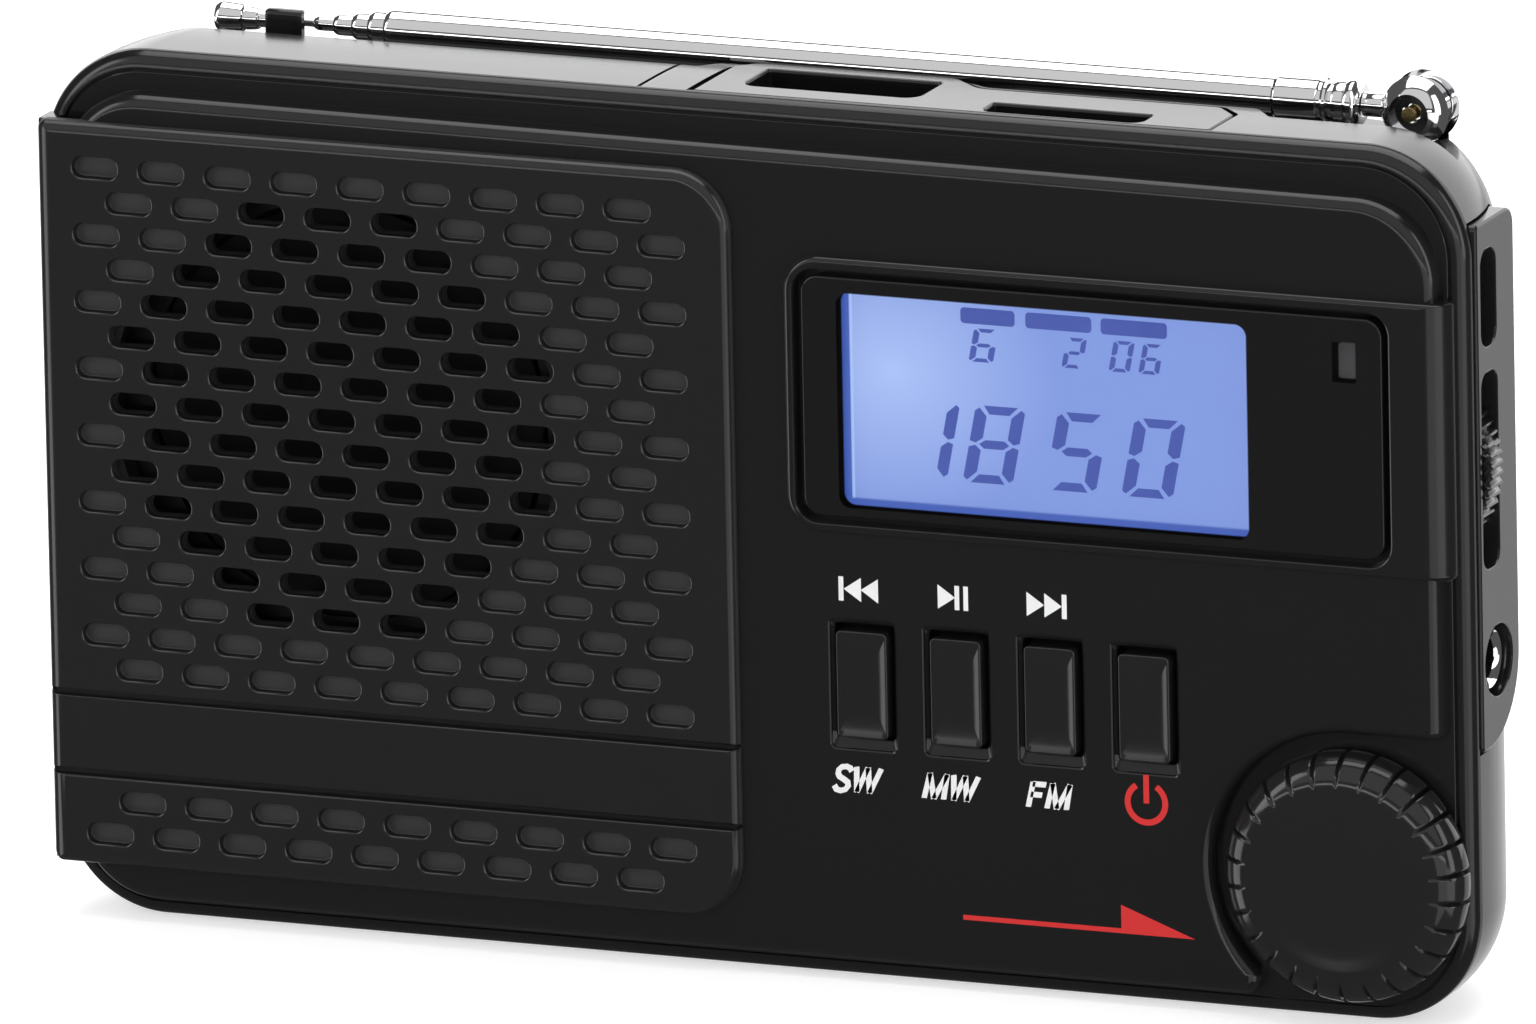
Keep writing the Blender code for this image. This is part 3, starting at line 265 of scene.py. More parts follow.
class Value:
    """A number in a material. Adding, subtracting, multiplying or dividing it adds a Math node,
    and plain numbers are set on that node's own sockets."""

    def __init__(self, tree, socket):
        self.tree = tree
        self.socket = socket

    def math(self, operation, *others, ahead=(), clamp=False):
        """A Math node of what is ahead of this value, this value, and the others."""
        node = self.tree.nodes.new("ShaderNodeMath")
        node.operation = operation
        node.use_clamp = clamp
        for entry, value in zip(node.inputs, (*ahead, self, *others)):
            plug(entry, value)
        return Value(self.tree, node.outputs[0])

    def __add__(self, other):
        return self.math("ADD", other)

    def __sub__(self, other):
        return self.math("SUBTRACT", other)

    def __rsub__(self, other):
        return self.math("SUBTRACT", ahead=(other,))

    def __mul__(self, other):
        return self.math("MULTIPLY", other)

    def __truediv__(self, other):
        return self.math("DIVIDE", other)

    def __rtruediv__(self, other):
        return self.math("DIVIDE", ahead=(other,))

    __radd__ = __add__
    __rmul__ = __mul__

    def above(self, edge, width):
        """0 below the edge, 1 above it, straight over the width between."""
        return ((self - edge) / width).math("ADD", 0.5, clamp=True)


def plug(entry, value):
    """Links a value to a socket, or sets a number, vector or colour on the socket itself."""
    if isinstance(value, Value):
        value.tree.links.new(value.socket, entry)
    else:
        entry.default_value = value


class Look:
    """A material and its Principled shader."""

    def __init__(self, name, color, roughness, metallic=0.0, **inputs):
        self.material = bpy.data.materials.new(name)
        self.material.use_nodes = True
        self.tree = self.material.node_tree
        self.shader = self.tree.nodes["Principled BSDF"]
        self.shader.inputs["Base Color"].default_value = (*color, 1.0)
        self.shader.inputs["Roughness"].default_value = roughness
        self.shader.inputs["Metallic"].default_value = metallic
        for entry, value in inputs.items():
            self.shader.inputs[entry.replace("_", " ")].default_value = value

    def node(self, kind, **settings):
        """Another node; a setting named after an input fills it in, any other is a property."""
        node = self.tree.nodes.new("ShaderNode" + kind)
        for key, value in settings.items():
            if key in node.inputs:
                plug(node.inputs[key], value)
            else:
                setattr(node, key, value)
        return node

    def position(self):
        """The place on the object, in metres, and its three parts."""
        place = Value(self.tree, self.node("TexCoord").outputs["Object"])
        split = self.node("SeparateXYZ", Vector=place)
        return place, [Value(self.tree, part) for part in split.outputs]

    def noise(self, scale, detail=2.0, stretch=(1.0, 1.0, 1.0)):
        """Noise from 0 to 1 that varies scale times in a metre."""
        place, _ = self.position()
        mapped = Value(self.tree, self.node("Mapping", Vector=place, Scale=stretch).outputs[0])
        texture = self.node("TexNoise", Vector=mapped, Scale=scale, Detail=detail)
        return Value(self.tree, texture.outputs["Fac"])

    def mix(self, factor, first, second):
        """One colour fading into another."""
        blend = self.node("Mix", data_type="RGBA", Factor=factor)
        for entry, color in zip((blend.inputs[6], blend.inputs[7]), (first, second)):
            plug(entry, color if isinstance(color, Value) else (*color, 1.0))
        return Value(self.tree, blend.outputs[2])

    def feed(self, entry, value):
        """Links a value to one of the shader's sockets."""
        self.tree.links.new(value.socket, self.shader.inputs[entry])
        return self

    def bump(self, height, distance, strength=1.0):
        """Raises the surface by height times distance."""
        node = self.node("Bump", Height=height, Distance=distance, Strength=strength)
        return self.feed("Normal", Value(self.tree, node.outputs[0]))

    def worn(self, spread, grain_scale, grain_depth):
        """Uneven roughness as of handling, and a fine moulded grain."""
        base = self.shader.inputs["Roughness"].default_value
        self.feed("Roughness", self.noise(90.0, 3.0) * spread + (base - spread / 2))
        return self.bump(self.noise(grain_scale, 2.0), grain_depth)


satin_black = Look("satin_black", (0.0098, 0.0098, 0.01), 0.18).worn(0.04, 9000.0, 6e-8).material

case_line = rectangle(-case_side, case_side, 0, case_top, case_corner, 24)
case_wall, pad_front, band_front, wall_back = 1.8, 1.0, 2.68, 3.0
rim_radii = (1.3, 1.3, 1.15, 1.35)
pad_left, pad_right, pad_low, pad_top = -59.5, 59.4, 1.65, 67.9
knob_x, knob_z, hollow = 51.25, 12.2, 11.6
tip_radius = 1.4
tip_rise = knob_z - pad_low - tip_radius
tip_across = ((hollow + tip_radius) ** 2 - tip_rise ** 2) ** 0.5
tip_turn = 180 + atan2(tip_rise, tip_across) * 180 / pi
hollow_arc = [(knob_x + hollow * cos(t), knob_z + hollow * sin(t), 0)
              for t in np.radians(np.linspace(tip_turn, 90, 48))]
tip_arc = [(knob_x - tip_across + tip_radius * cos(t), pad_low + tip_radius * (1 + sin(t)), 0)
           for t in np.radians(np.linspace(-90, tip_turn - 180, 14))]
pad_line = outline([(pad_left, pad_low, 7), *tip_arc, *hollow_arc[1:], (pad_right, knob_z + hollow, 0.9),
                    (pad_right, pad_top, 7), (pad_left, pad_top + 0.7, 7)], 16)
shell = Skin()
back_edge = shell.ring(grow(case_line, -case_wall), wall_back)
seam_inner = shell.ring(grow(case_line, -case_wall), 4.0)
seam_outer, rim_top = shell.crown(case_line, 2.7, rim_radii, 8, foot=3.95)
shell.wall(back_edge, seam_inner, seam_outer)
rim_line = grow(case_line, tuple(-r for r in rim_radii))
groove = shell.sweep(rim_line, [(0, 2.7), (-0.06, 2.76), (-0.08, 3.0), (-0.3, 3.0), (-0.32, 2.72),
                                (-0.38, band_front)])
shell.wall(rim_top, groove[0])
pad_foot, pad_face = shell.crown(pad_line, pad_front, (1.25, 1.25, 1.0, 1.25), 8, foot=band_front)
shaft_hole = ring_points(knob_x, knob_z, 3.3, 32)
shaft_front = shell.ring(shaft_hole, band_front)
shaft_back = shell.ring(shaft_hole, wall_back)
shell.wall(shaft_front, shaft_back)
shell.fill(groove[1], pad_foot, shaft_front)

lens_pocket = rectangle(4.5, 55.65, 37.95, 58.8, 1.9, 10)
pocket_depth = 1.9
pocket_top, pocket_floor = shell.sweep(grow(lens_pocket, 0.05), [(0, pad_front), (0, pocket_depth)])
screen_line = rectangle(8.0, 43.65, 39.1, 57.15, 1.3, 8)
lamp_line = outline([(50.8, 52.9, 0.2), (52.8, 52.9, 0.2), (52.8, 55.7, 0.3), (51.8, 56.4, 0.2),
                     (50.8, 55.7, 0.3)], 4)
windows_front = [shell.ring(line, pocket_depth) for line in (screen_line, lamp_line)]
windows_back = [shell.ring(line, wall_back) for line in (screen_line, lamp_line)]
for front_row, back_row in zip(windows_front, windows_back):
    shell.wall(front_row, back_row)
shell.fill(pocket_floor, *windows_front)

key_pitch, key_z = 8.11, 24.65
key_xs = [9.8 + key_pitch * i for i in range(4)]
wells, well_backs = [], []
for x in key_xs:
    well = rectangle(x - 2.8, x + 2.8, key_z - 5.35, key_z + 5.35, 0.45, 5)
    inner = rectangle(x - 2.55, x + 2.55, key_z - 4.55, key_z + 4.95, 0.3, 5)
    rows = [shell.ring(grow(well, 0.16), pad_front), shell.ring(grow(well, 0.04), 1.07),
            shell.ring(well, 1.25), shell.ring(inner, 1.5), shell.ring(inner, wall_back)]
    shell.wall(*rows)
    wells.append(rows[0])
    well_backs.append(rows[-1])
sound_x, sound_z, sound_radius = -35.6, 43.17, 19.4
sound_hole = ring_points(sound_x, sound_z, sound_radius, 72)
sound_rows = [shell.ring(sound_hole, depth) for depth in (pad_front, wall_back)]
shell.wall(*sound_rows)
shell.fill(pad_face, *wells, sound_rows[0], pocket_top)
shell.fill(back_edge, shaft_back, sound_rows[1], *windows_back, *well_backs)
shell.make("front_shell_skin", satin_black, "case", "case_plastic", ["front_shell"], 20)

bezel = Skin()
bezel_line = outline([(3.65, 37.2, 3), (60.6, 37.2, 0.3), (60.6, 59.85, 0.3), (3.65, 59.85, 3)], 12)
bezel_foot, bezel_face = bezel.crown(bezel_line, 0.4, (0.5, 2.6, 0.4, 0.5), 8, foot=2.66)
pocket_rim, pocket_foot = bezel.sweep(lens_pocket, [(0.15, 0.4), (0.05, 0.44), (0, 0.55), (0, 2.66)])
bezel.fill(bezel_face, pocket_rim)
bezel.fill(bezel_foot, pocket_foot)
bezel.make("display_frame", satin_black, "case", "case_plastic", (), 20)

# ------------------------ speaker grille
# A thin moulded panel in three bands parted by two fine grooves. Rows of stadium slots are cut in
# it: those in front of the loudspeaker go through, the others are shallow pockets with a grained floor.
grille_skin = Skin()
grille_left, grille_right, grille_low, grille_top = -61.2, -0.86, 4.5, 66.15
slot_pitch_x, slot_pitch_z, roll = 5.8, 2.767, 1.4
slots = []
for row in [*range(1, 17), 20, 21]:
    shift = slot_pitch_x / 2 if row % 2 == 0 else 0.0
    for column in range(9):
        slots.append((-55.9 + slot_pitch_x * column + shift, 62.53 - slot_pitch_z * (row - 1)))
for low, high in ((18.95, grille_top), (12.35, 18.65), (grille_low, 12.05)):
    low_end, high_end = low == grille_low, high == grille_top
    line = outline([(grille_left, low, 0.9 if low_end else 0.12),
                    (grille_right, low, 5.0 if low_end else 0.12),
                    (grille_right, high, 5.0 if high_end else 0.12),
                    (grille_left, high, 0.9 if high_end else 0.12)], 16)
    radii = (roll, 0.9, 0.9 if low_end else 0.28, 0.9 if high_end else 0.28)
    foot, face_row = grille_skin.crown(line, 0.0, radii, 8, foot=1.4)
    fronts, backs = [], []
    for x, z in slots:
        if not low < z < high:
            continue
        pill = rectangle(x - 2.12, x + 2.12, z - 1.04, z + 1.04, 1.0, 6)
        open_slot = np.hypot(x - sound_x, z - sound_z) < sound_radius - 0.4
        rim = [(0.0, 0.0), (-0.07, 0.03), (-0.12, 0.09), (-0.14, 0.18), (-0.16, 0.5)]
        end = [(-0.26, 1.4)] if open_slot else [(-0.22, 0.6), (-0.3, 0.66)]
        first, last = grille_skin.sweep(pill, rim + end)
        fronts.append(first)
        if open_slot:
            backs.append(last)
        else:
            grille_skin.fill(last)
    grille_skin.fill(face_row, *fronts)
    grille_skin.fill(foot, *backs)
groove_floor = rectangle(grille_left + 0.7, grille_right - 0.4, 11.0, 20.0, 0.2, 2)
for row in grille_skin.sweep(groove_floor, [(0, 0.55), (0, 1.0)]):
    grille_skin.fill(row)
cheek = outline([(3.95, 4.6, 0.3), (3.95, 66.05, 0.3), (1.2, 66.05, 0.2), (1.2, 4.6, 0.2)], 3)
cheek_skin = Skin("side")
cheek_skin.solid(*[cheek_skin.ring(cheek, x) for x in (-61.19, -59.8)])
for i, (x, z, depth) in enumerate(grille_skin.points):
    past = min(max(grille_left + roll - x, 0.0), roll)
    grille_skin.points[i] = (x, z, max(depth, roll - (roll ** 2 - past ** 2) ** 0.5))
grille_black = (0.0135, 0.0135, 0.0138)
grille_look = Look("grille_black", grille_black, 0.2)
_, (x_at, y_at, z_at) = grille_look.position()
in_pocket = y_at.above(0.63 * mm - grille_face, 0.04 * mm)
speckle = grille_look.noise(9000.0, 2.0) * 0.35 + grille_look.noise(26000.0, 1.0) * 0.65
grille_look.feed("Roughness", in_pocket * 0.3 + 0.19)
grille_look.feed("Base Color", grille_look.mix(in_pocket, grille_black, (0.026, 0.026, 0.027)))
grille_look.bump(speckle * in_pocket + grille_look.noise(9000.0, 2.0) * 0.004, 4e-5)
grille_skin.make("speaker_grille_skin", grille_look.material, "case", "case_plastic", ["speaker_grille"], 20)
cheek_skin.make("speaker_grille_cheek", satin_black, "case", "case_plastic")

# ------------------------ printed marks
# Flat ink on the pad: player symbols over three keys, generic band letters below them, a red
# power sign and a red wedge that points to the knob. Each mark is a thin raised shape.
white_ink = Look("white_ink", (0.82, 0.82, 0.82), 0.5).worn(0.05, 9000.0, 3e-7).material
red_ink = Look("red_ink", (0.66, 0.008, 0.008), 0.5).worn(0.05, 9000.0, 3e-7).material
white_marks, red_marks = Skin(), Skin()


def ink(skin, corners, lean=0.0, base=0.0, depth=0.985):
    """A flat shape 0.03 mm thick, leaning over by lean times its height above base."""
    line = np.array(corners, float)
    line[:, 0] += lean * (line[:, 1] - base)
    skin.solid(skin.ring(line, depth), skin.ring(line, depth + 0.03))


def stroke(skin, path, width, lean=0.0, base=0.0):
    """A pen line of constant width along a path of points, mitred at its bends."""
    path = np.array(path, float)
    step = np.diff(path, axis=0)
    step /= np.linalg.norm(step, axis=1)[:, None]
    sides = np.stack([-step[:, 1], step[:, 0]], 1)
    ends = np.concatenate([sides[:1], sides, sides[-1:]])
    before, after = ends[:-1], ends[1:]
    mitre = (before + after) / np.maximum(1 + (before * after).sum(1), 0.35)[:, None]
    edge = np.concatenate([path + mitre * width / 2, (path - mitre * width / 2)[::-1]])
    ink(skin, edge, lean, base)


def bar(skin, x, low, high, width):
    """An upright bar whose left side is at x."""
    ink(skin, [(x, low), (x + width, low), (x + width, high), (x, high)])


symbol_low, symbol_high, arrow = 31.5, 33.5, 1.5
symbol_middle = (symbol_low + symbol_high) / 2
for x, width in ((7.84, 0.42), (17.86, 0.4), (18.62, 0.4), (27.1, 0.42)):
    bar(white_marks, x, symbol_low, symbol_high, width)
for heel, reach in ((9.78, -arrow), (11.25, -arrow), (16.4, arrow), (24.07, arrow), (25.6, arrow)):
    ink(white_marks, [(heel, symbol_low), (heel + reach, symbol_middle), (heel, symbol_high)])

letter_base, letter_top, lean = 15.75, 17.85, 0.22
tall = letter_top - letter_base
curve_s = [(1.42, 0.8), (1.22, 0.93), (0.9, 0.98), (0.5, 0.95), (0.28, 0.83), (0.28, 0.68), (0.46, 0.56),
           (0.9, 0.46), (1.24, 0.36), (1.34, 0.22), (1.16, 0.07), (0.78, 0.01), (0.4, 0.05), (0.14, 0.2)]
peaks_w = [(0.0, 1.0), (0.42, 0.0), (1.0, 1.0), (1.54, 0.0), (2.14, 1.0)]
peaks_m = [(0.0, 0.0), (0.1, 1.0), (0.84, 0.0), (1.58, 1.0), (1.68, 0.0)]
shape_w, shape_m = ([pair for pair in zip(peaks, peaks[1:])] for peaks in (peaks_w, peaks_m))
shapes_f = [[(0.0, 0.0), (0.0, 1.0)], [(0.0, 0.92), (1.15, 0.92)], [(0.0, 0.5), (0.98, 0.5)]]
words = [(6.9, [(0.0, [curve_s]), (1.75, shape_w)]), (14.9, [(0.0, shape_m), (2.15, shape_w)]),
         (23.9, [(0.0, shapes_f), (1.6, shape_m)])]
for start, letters in words:
    for shift, paths in letters:
        for path in paths:
            points = [(start + shift + a, letter_base + b * tall) for a, b in path]
            stroke(white_marks, points, 0.46, lean, letter_base)

power_x, power_z, power_radius = 34.1, 16.9, 1.62
arc = np.radians(np.linspace(122, 418, 40))
stroke(red_marks, [(power_x + power_radius * cos(t), power_z + power_radius * sin(t)) for t in arc], 0.5)
bar(red_marks, power_x - 0.24, 16.85, 19.2, 0.48)
ink(red_marks, [(18.1, 5.95), (38.1, 5.95), (31.75, 8.3), (31.75, 6.35), (18.1, 6.35)])
white_marks.make("white_marks", white_ink, "case", "light_plastic")
red_marks.make("red_marks", red_ink, "case", "red_sleeve")

# ------------------------ display
# A smoked lens with a clear window over a blue lit crystal panel. The panel shows a date and a
# clock in leaning seven-part figures. Its left and bottom edges carry painted shade, a darker blue where the
# panel sits back behind the window, and a thin painted highlight line runs along the left edge.
lens = Skin()
lens_line = rectangle(5.1, 55.06, 38.5, 58.25, 1.5, 10)
for row in lens.crown(lens_line, 0.66, (0.22, 0.22, 0.22, 0.22), 5, foot=1.8):
    lens.fill(row)
lens_look = Look("smoked_lens", (0.0085, 0.0085, 0.009), 0.12, IOR=1.45)
_, (x_at, y_at, z_at) = lens_look.position()


def inside(low, high, value, soft):
    """1 where the value lies between low and high."""
    return value.above(low, soft) * (1.0 - value.above(high, soft))


window_x, window_z, half_wide, half_high, corner = 0.025825, 0.048125, 0.016625, 0.007825, 0.001
past_x = ((x_at - window_x).math("ABSOLUTE") - half_wide).math("MAXIMUM", 0.0)
past_z = ((z_at - window_z).math("ABSOLUTE") - half_high).math("MAXIMUM", 0.0)
clear = 1.0 - (past_x * past_x + past_z * past_z).math("SQRT").above(corner, 0.0001)
lamp_area = inside(0.0508, 0.0528, x_at, 0.0001) * inside(0.0529, 0.0562, z_at, 0.0001)
lens_look.feed("Alpha", 1.0 - clear * 0.985 - lamp_area * 0.8)
lens_look.feed("Roughness", lens_look.noise(60.0, 3.0) * 0.05 + 0.1)
lens.make("display_lens_skin", lens_look.material, "case", "lens_plastic", ["display_lens"], 20)

screen = Skin()
screen_block = rectangle(8.05, 43.6, 39.15, 57.1, 1.2, 8)
for row in screen.sweep(screen_block, [(0, 4.8), (0, 1.96)]):
    screen.fill(row)
screen_look = Look("lit_screen", (0.03, 0.05, 0.12), 0.5)
_, (x_at, y_at, z_at) = screen_look.position()
from_x, from_z = x_at - 0.0125, z_at - 0.0505
glow = (from_x * from_x + from_z * from_z * 1.4).math("SQRT")
fade = (glow / 0.0145).math("MINIMUM", 1.0).math("POWER", 0.8)
blue = screen_look.mix(fade, (0.39, 0.51, 0.86), (0.195, 0.285, 0.66))
# Painted shade: the panel's left and bottom edges are coloured a darker blue for the shade where it sits back
# behind the lens window. A thin painted highlight line follows the inner edge of the left band.
shade_band_x = 1.0 - x_at.above(0.00885, 0.00012)
shade_band_z = 1.0 - z_at.above(0.03985, 0.0002)
edge = shade_band_x.math("MAXIMUM", shade_band_z)
deep = screen_look.mix(x_at.above(0.0083, 0.0006), (0.02, 0.055, 0.28), (0.05, 0.1, 0.42))
edge_highlight_x = inside(0.0088, 0.00905, x_at, 0.0001) * (1.0 - shade_band_z)
behind_face = y_at.above(2.1 * mm - grille_face, 0.05 * mm)
picture = screen_look.mix(edge_highlight_x * 0.6, screen_look.mix(edge, blue, deep), (0.45, 0.6, 1.0))
screen_look.feed("Emission Color", screen_look.mix(behind_face, picture, (0.0, 0.0, 0.0)))
screen_look.shader.inputs["Emission Strength"].default_value = 1.0
screen_look.feed("Roughness", screen_look.noise(200.0) * 0.1 + 0.45)
screen.make("lcd_screen", screen_look.material, "case", "screen_glass", ["lcd_panel"], 20)

figures = Skin()
figure_depth = 1.93
parts = {"a": [(0.16, 1.0), (0.84, 1.0), (0.7, 0.89), (0.3, 0.89)],
         "d": [(0.3, 0.11), (0.7, 0.11), (0.84, 0), (0.16, 0)],
         "g": [(0.2, 0.5), (0.31, 0.555), (0.69, 0.555), (0.8, 0.5), (0.69, 0.445), (0.31, 0.445)],
         "f": [(0.0, 0.54), (0.12, 0.515), (0.25, 0.58), (0.25, 0.86), (0.08, 0.97), (0.0, 0.93)],
         "b": [(1.0, 0.54), (0.88, 0.515), (0.75, 0.58), (0.75, 0.86), (0.92, 0.97), (1.0, 0.93)],
         "e": [(0.0, 0.46), (0.12, 0.485), (0.25, 0.42), (0.25, 0.14), (0.08, 0.03), (0.0, 0.07)],
         "c": [(1.0, 0.46), (0.88, 0.485), (0.75, 0.42), (0.75, 0.14), (0.92, 0.03), (1.0, 0.07)]}
lit = {"0": "abcdef", "1": "bc", "2": "abged", "5": "afgcd", "6": "afgedc", "8": "abcdefg"}
row_of_figures = [("1", 13.0, 41.95, 4.0, 6.4), ("8", 18.35, 41.9, 4.3, 6.4), ("5", 25.4, 41.8, 4.4, 6.5),
                  ("0", 32.0, 41.8, 4.4, 6.5), ("6", 19.05, 51.85, 2.1, 2.75), ("2", 27.05, 51.95, 1.75, 2.5),
                  ("0", 31.1, 51.95, 1.8, 2.55), ("6", 33.65, 51.95, 1.75, 2.5)]
for digit, x, z, wide, high in row_of_figures:
    for letter in lit[digit]:
        shape = [(x + a * wide, z + b * high) for a, b in parts[letter]]
        ink(figures, shape, 0.2, z, figure_depth)
for x, wide in ((18.43, 4.66), (24.02, 5.66), (30.49, 5.68)):
    ink(figures, rectangle(x, x + wide, 54.95, 56.25, 0.3, 3), depth=figure_depth)
figure_look = Look("figure_blue", (0.02, 0.03, 0.1), 0.5, Emission_Strength=1.0)
shade = figure_look.noise(300.0, 1.0)
figure_look.feed("Emission Color", figure_look.mix(shade, (0.036, 0.062, 0.30), (0.05, 0.082, 0.36)))
figures.make("lcd_figures", figure_look.material, "case", "screen_glass")

lamp = Skin()
lamp_block = outline([(50.85, 52.95, 0.2), (52.75, 52.95, 0.2), (52.75, 55.65, 0.3), (51.8, 56.35, 0.2),
                      (50.85, 55.65, 0.3)], 4)
for row in lamp.sweep(lamp_block, [(0, 3.0), (0, 1.95)]):
    lamp.fill(row)
lamp_look = Look("lamp_grey", (0.12, 0.12, 0.125), 0.5, Emission_Color=(0.5, 0.5, 0.52, 1),
                 Emission_Strength=0.07)
_, (x_at, y_at, z_at) = lamp_look.position()
lamp_look.feed("Base Color", lamp_look.mix(z_at.above(0.0545, 0.003), (0.2, 0.2, 0.21), (0.1, 0.1, 0.105)))
lamp.make("indicator_window", lamp_look.material, "case", "light_plastic")

# ------------------------ keys
# Four press keys of glossy plastic. Each has a tall face dished from top to bottom, fine bright
# edges, and a rim behind the wells that keeps it in the case.
gloss_black = Look("gloss_black", (0.0135, 0.0135, 0.0138), 0.12).worn(0.04, 9000.0, 6e-8).material
key_bodies = [("previous_key", "previous_button"), ("play_key", "play_button"), ("next_key", "next_button"),
              ("power_key", "power_button")]


def dish(points):
    """Depth of the face: proud at the top and bottom, and hollow by a shallow arc between."""
    rise = (points[:, 1] - key_z) / 4.35
    return 0.62 + 0.42 * (1 - rise ** 2)


edge_rows = ((0.0, 0.17), (0.01, 0.11), (0.03, 0.06), (0.07, 0.025), (0.11, 0.006), (0.15, 0.0))
for x, (name, body) in zip(key_xs, key_bodies):
    key = Skin()
    middle = np.array((x, key_z))
    line = rectangle(x - 2.2, x + 2.2, key_z - 4.35, key_z + 4.45, 0.45, 6)
    rim_line = rectangle(x - 2.9, x + 2.9, key_z - 5.1, key_z + 5.1, 0.4, 6)
    rows = [key.ring(rim_line, 3.95), key.ring(rim_line, 3.3), key.ring(line, 3.3)]
    for inset, drop in edge_rows:
        moved = grow(line, -inset) if inset else line
        rows.append(key.ring(moved, dish(moved) + drop))
    for scale in (0.9, 0.8, 0.68, 0.55, 0.4, 0.25, 0.1):
        moved = middle + (grow(line, -0.15) - middle) * scale
        rows.append(key.ring(moved, dish(moved)))
    key.solid(*rows)
    key.make(name + "_cap", gloss_black, body, "trim_plastic", [name], 60)

# ------------------------ tuning knob
# A round knob with a shallow dished face and a rolled edge. Short deep notches are cut through
# the roll all the way round, so that a fingertip turns it.
notches = 26


def turned(profile, axis, center, count=96, closed=False, warp=None):
    """A surface of revolution: the profile's (radius, along) points carried round an axis through
    center. warp(turn, radius, along) may return a changed radius, for notches and teeth."""
    profile = np.array(profile, float)
    turn = np.arange(count) * 2 * pi / count
    rows = []
    for radius, along in profile:
        r = np.full(count, radius) if warp is None else warp(turn, radius, along)
        rows.append(np.stack([np.full(count, along), r * np.cos(turn), r * np.sin(turn)], 1))
    points = np.concatenate(rows)
    order = {"X": (0, 1, 2), "Y": (1, 0, 2), "Z": (1, 2, 0)}[axis]
    points = points[:, order] * mm + np.array(center)
    faces = []
    last = len(rows) if closed else len(rows) - 1
    for i in range(last):
        low, high = i * count, (i + 1) % len(rows) * count
        faces += [(low + k, low + (k + 1) % count, high + (k + 1) % count, high + k) for k in range(count)]
    if not closed:
        faces.append(tuple(range(count)))
        faces.append(tuple(range((len(rows) - 1) * count, len(rows) * count)))
    return surface("turned", points.tolist(), faces)


def notch(turn, radius, along):
    """The radius less a narrow cut that repeats round the knob, only on the rolled edge."""
    phase = (turn * notches / (2 * pi)) % 1.0
    cut = np.clip(1 - np.abs(phase - 0.5) / 0.085, 0, 1) ** 0.6
    depth = np.interp(radius, [7.7, 8.1, 9.4, 10.3], [0.0, 0.25, 0.5, 0.55])
    return radius - depth * cut


rolled_edge = [(7.6 + 2.7 * sin(t), 1.2 - 2.45 * cos(t)) for t in np.radians(np.linspace(0, 90, 16))]
knob_profile = [(0.02, -0.72), (2.0, -0.74), (4.0, -0.82), (5.6, -0.95), (6.6, -1.1), (7.2, -1.21),
                (7.45, -1.245), *rolled_edge, (10.3, 1.8), (10.1, 2.2), (9.7, 2.33), (3.0, 2.33),
                (3.0, 4.2), (1.5, 4.2), (1.5, 6.2)]
knob_mesh = turned(knob_profile, "Y", (knob_x * mm, -grille_face, knob_z * mm), notches * 24, warp=notch)
finish_piece("tuning_knob_cap", knob_mesh, gloss_black, "tuning", ["tuning_knob"], 35)

# ------------------------ volume wheel
# A flat wheel on the volume control, whose edge stands out of the side panel. Saw teeth round its
# rim give the thumb a grip.
wheel_teeth = 60


def teeth(turn, radius, along):
    """The radius less the gaps between pointed teeth that repeat round the rim."""
    phase = (turn * wheel_teeth / (2 * pi)) % 1.0
    return radius - (0.42 * np.abs(2 * phase - 1) if radius > 7.5 else 0 * phase)


wheel_profile = [(1.6, -1.5), (6.9, -1.5), (7.0, -1.35), (7.4, -1.35), (7.9, -1.5), (8.2, -1.2), (8.2, 1.2),
                 (7.9, 1.5), (7.4, 1.35), (7.0, 1.35), (6.9, 1.5), (1.6, 1.5)]
wheel_mesh = turned(wheel_profile, "Y", (0.0544, -0.005, 0.0452), wheel_teeth * 8, True, teeth)
finish_piece("volume_wheel_rim", wheel_mesh, gloss_black, "volume", ["volume_wheel"], 35)

# ------------------------ back shell
# The rear half of the case. Its sides turn in towards the back along an ellipse. It is cut for the
# top tray, the side panel, the antenna ledge, the battery door and the screws.
shell_front, curve_start, rear = 4.05, 5.0, 23.0


def shell_line(turn, margins, side, crown, sole, depth):
    """The case outline at one depth: side and crown times 1 - cos(turn) come off its sides and top."""
    bend = 1 - cos(radians(turn))
    low = max(0.0, (depth - 17.0) / 6.0)
    foot = sole * (1 - np.sqrt(max(0.0, 1 - low * low)))
    x0, x1 = -case_side + margins[0] + side * bend, case_side - margins[1] - side * bend
    z0, z1 = margins[2] + foot, case_top - margins[3] - crown * bend ** 1.5
    return rectangle(x0, x1, z0, z1, max(case_corner - margins[0], 2.0), 18)


def shell_rows(skin, margins, start, end, side, crown, sole, first):
    """Rows of the shell from its front edge to its back."""
    rows = [skin.ring(shell_line(0, margins, side, crown, sole, start), first)]
    for turn in np.linspace(0, 90, 25):
        depth = start + (end - start) * sin(radians(turn))
        rows.append(skin.ring(shell_line(turn, margins, side, crown, sole, depth), depth))
    skin.solid(*rows)


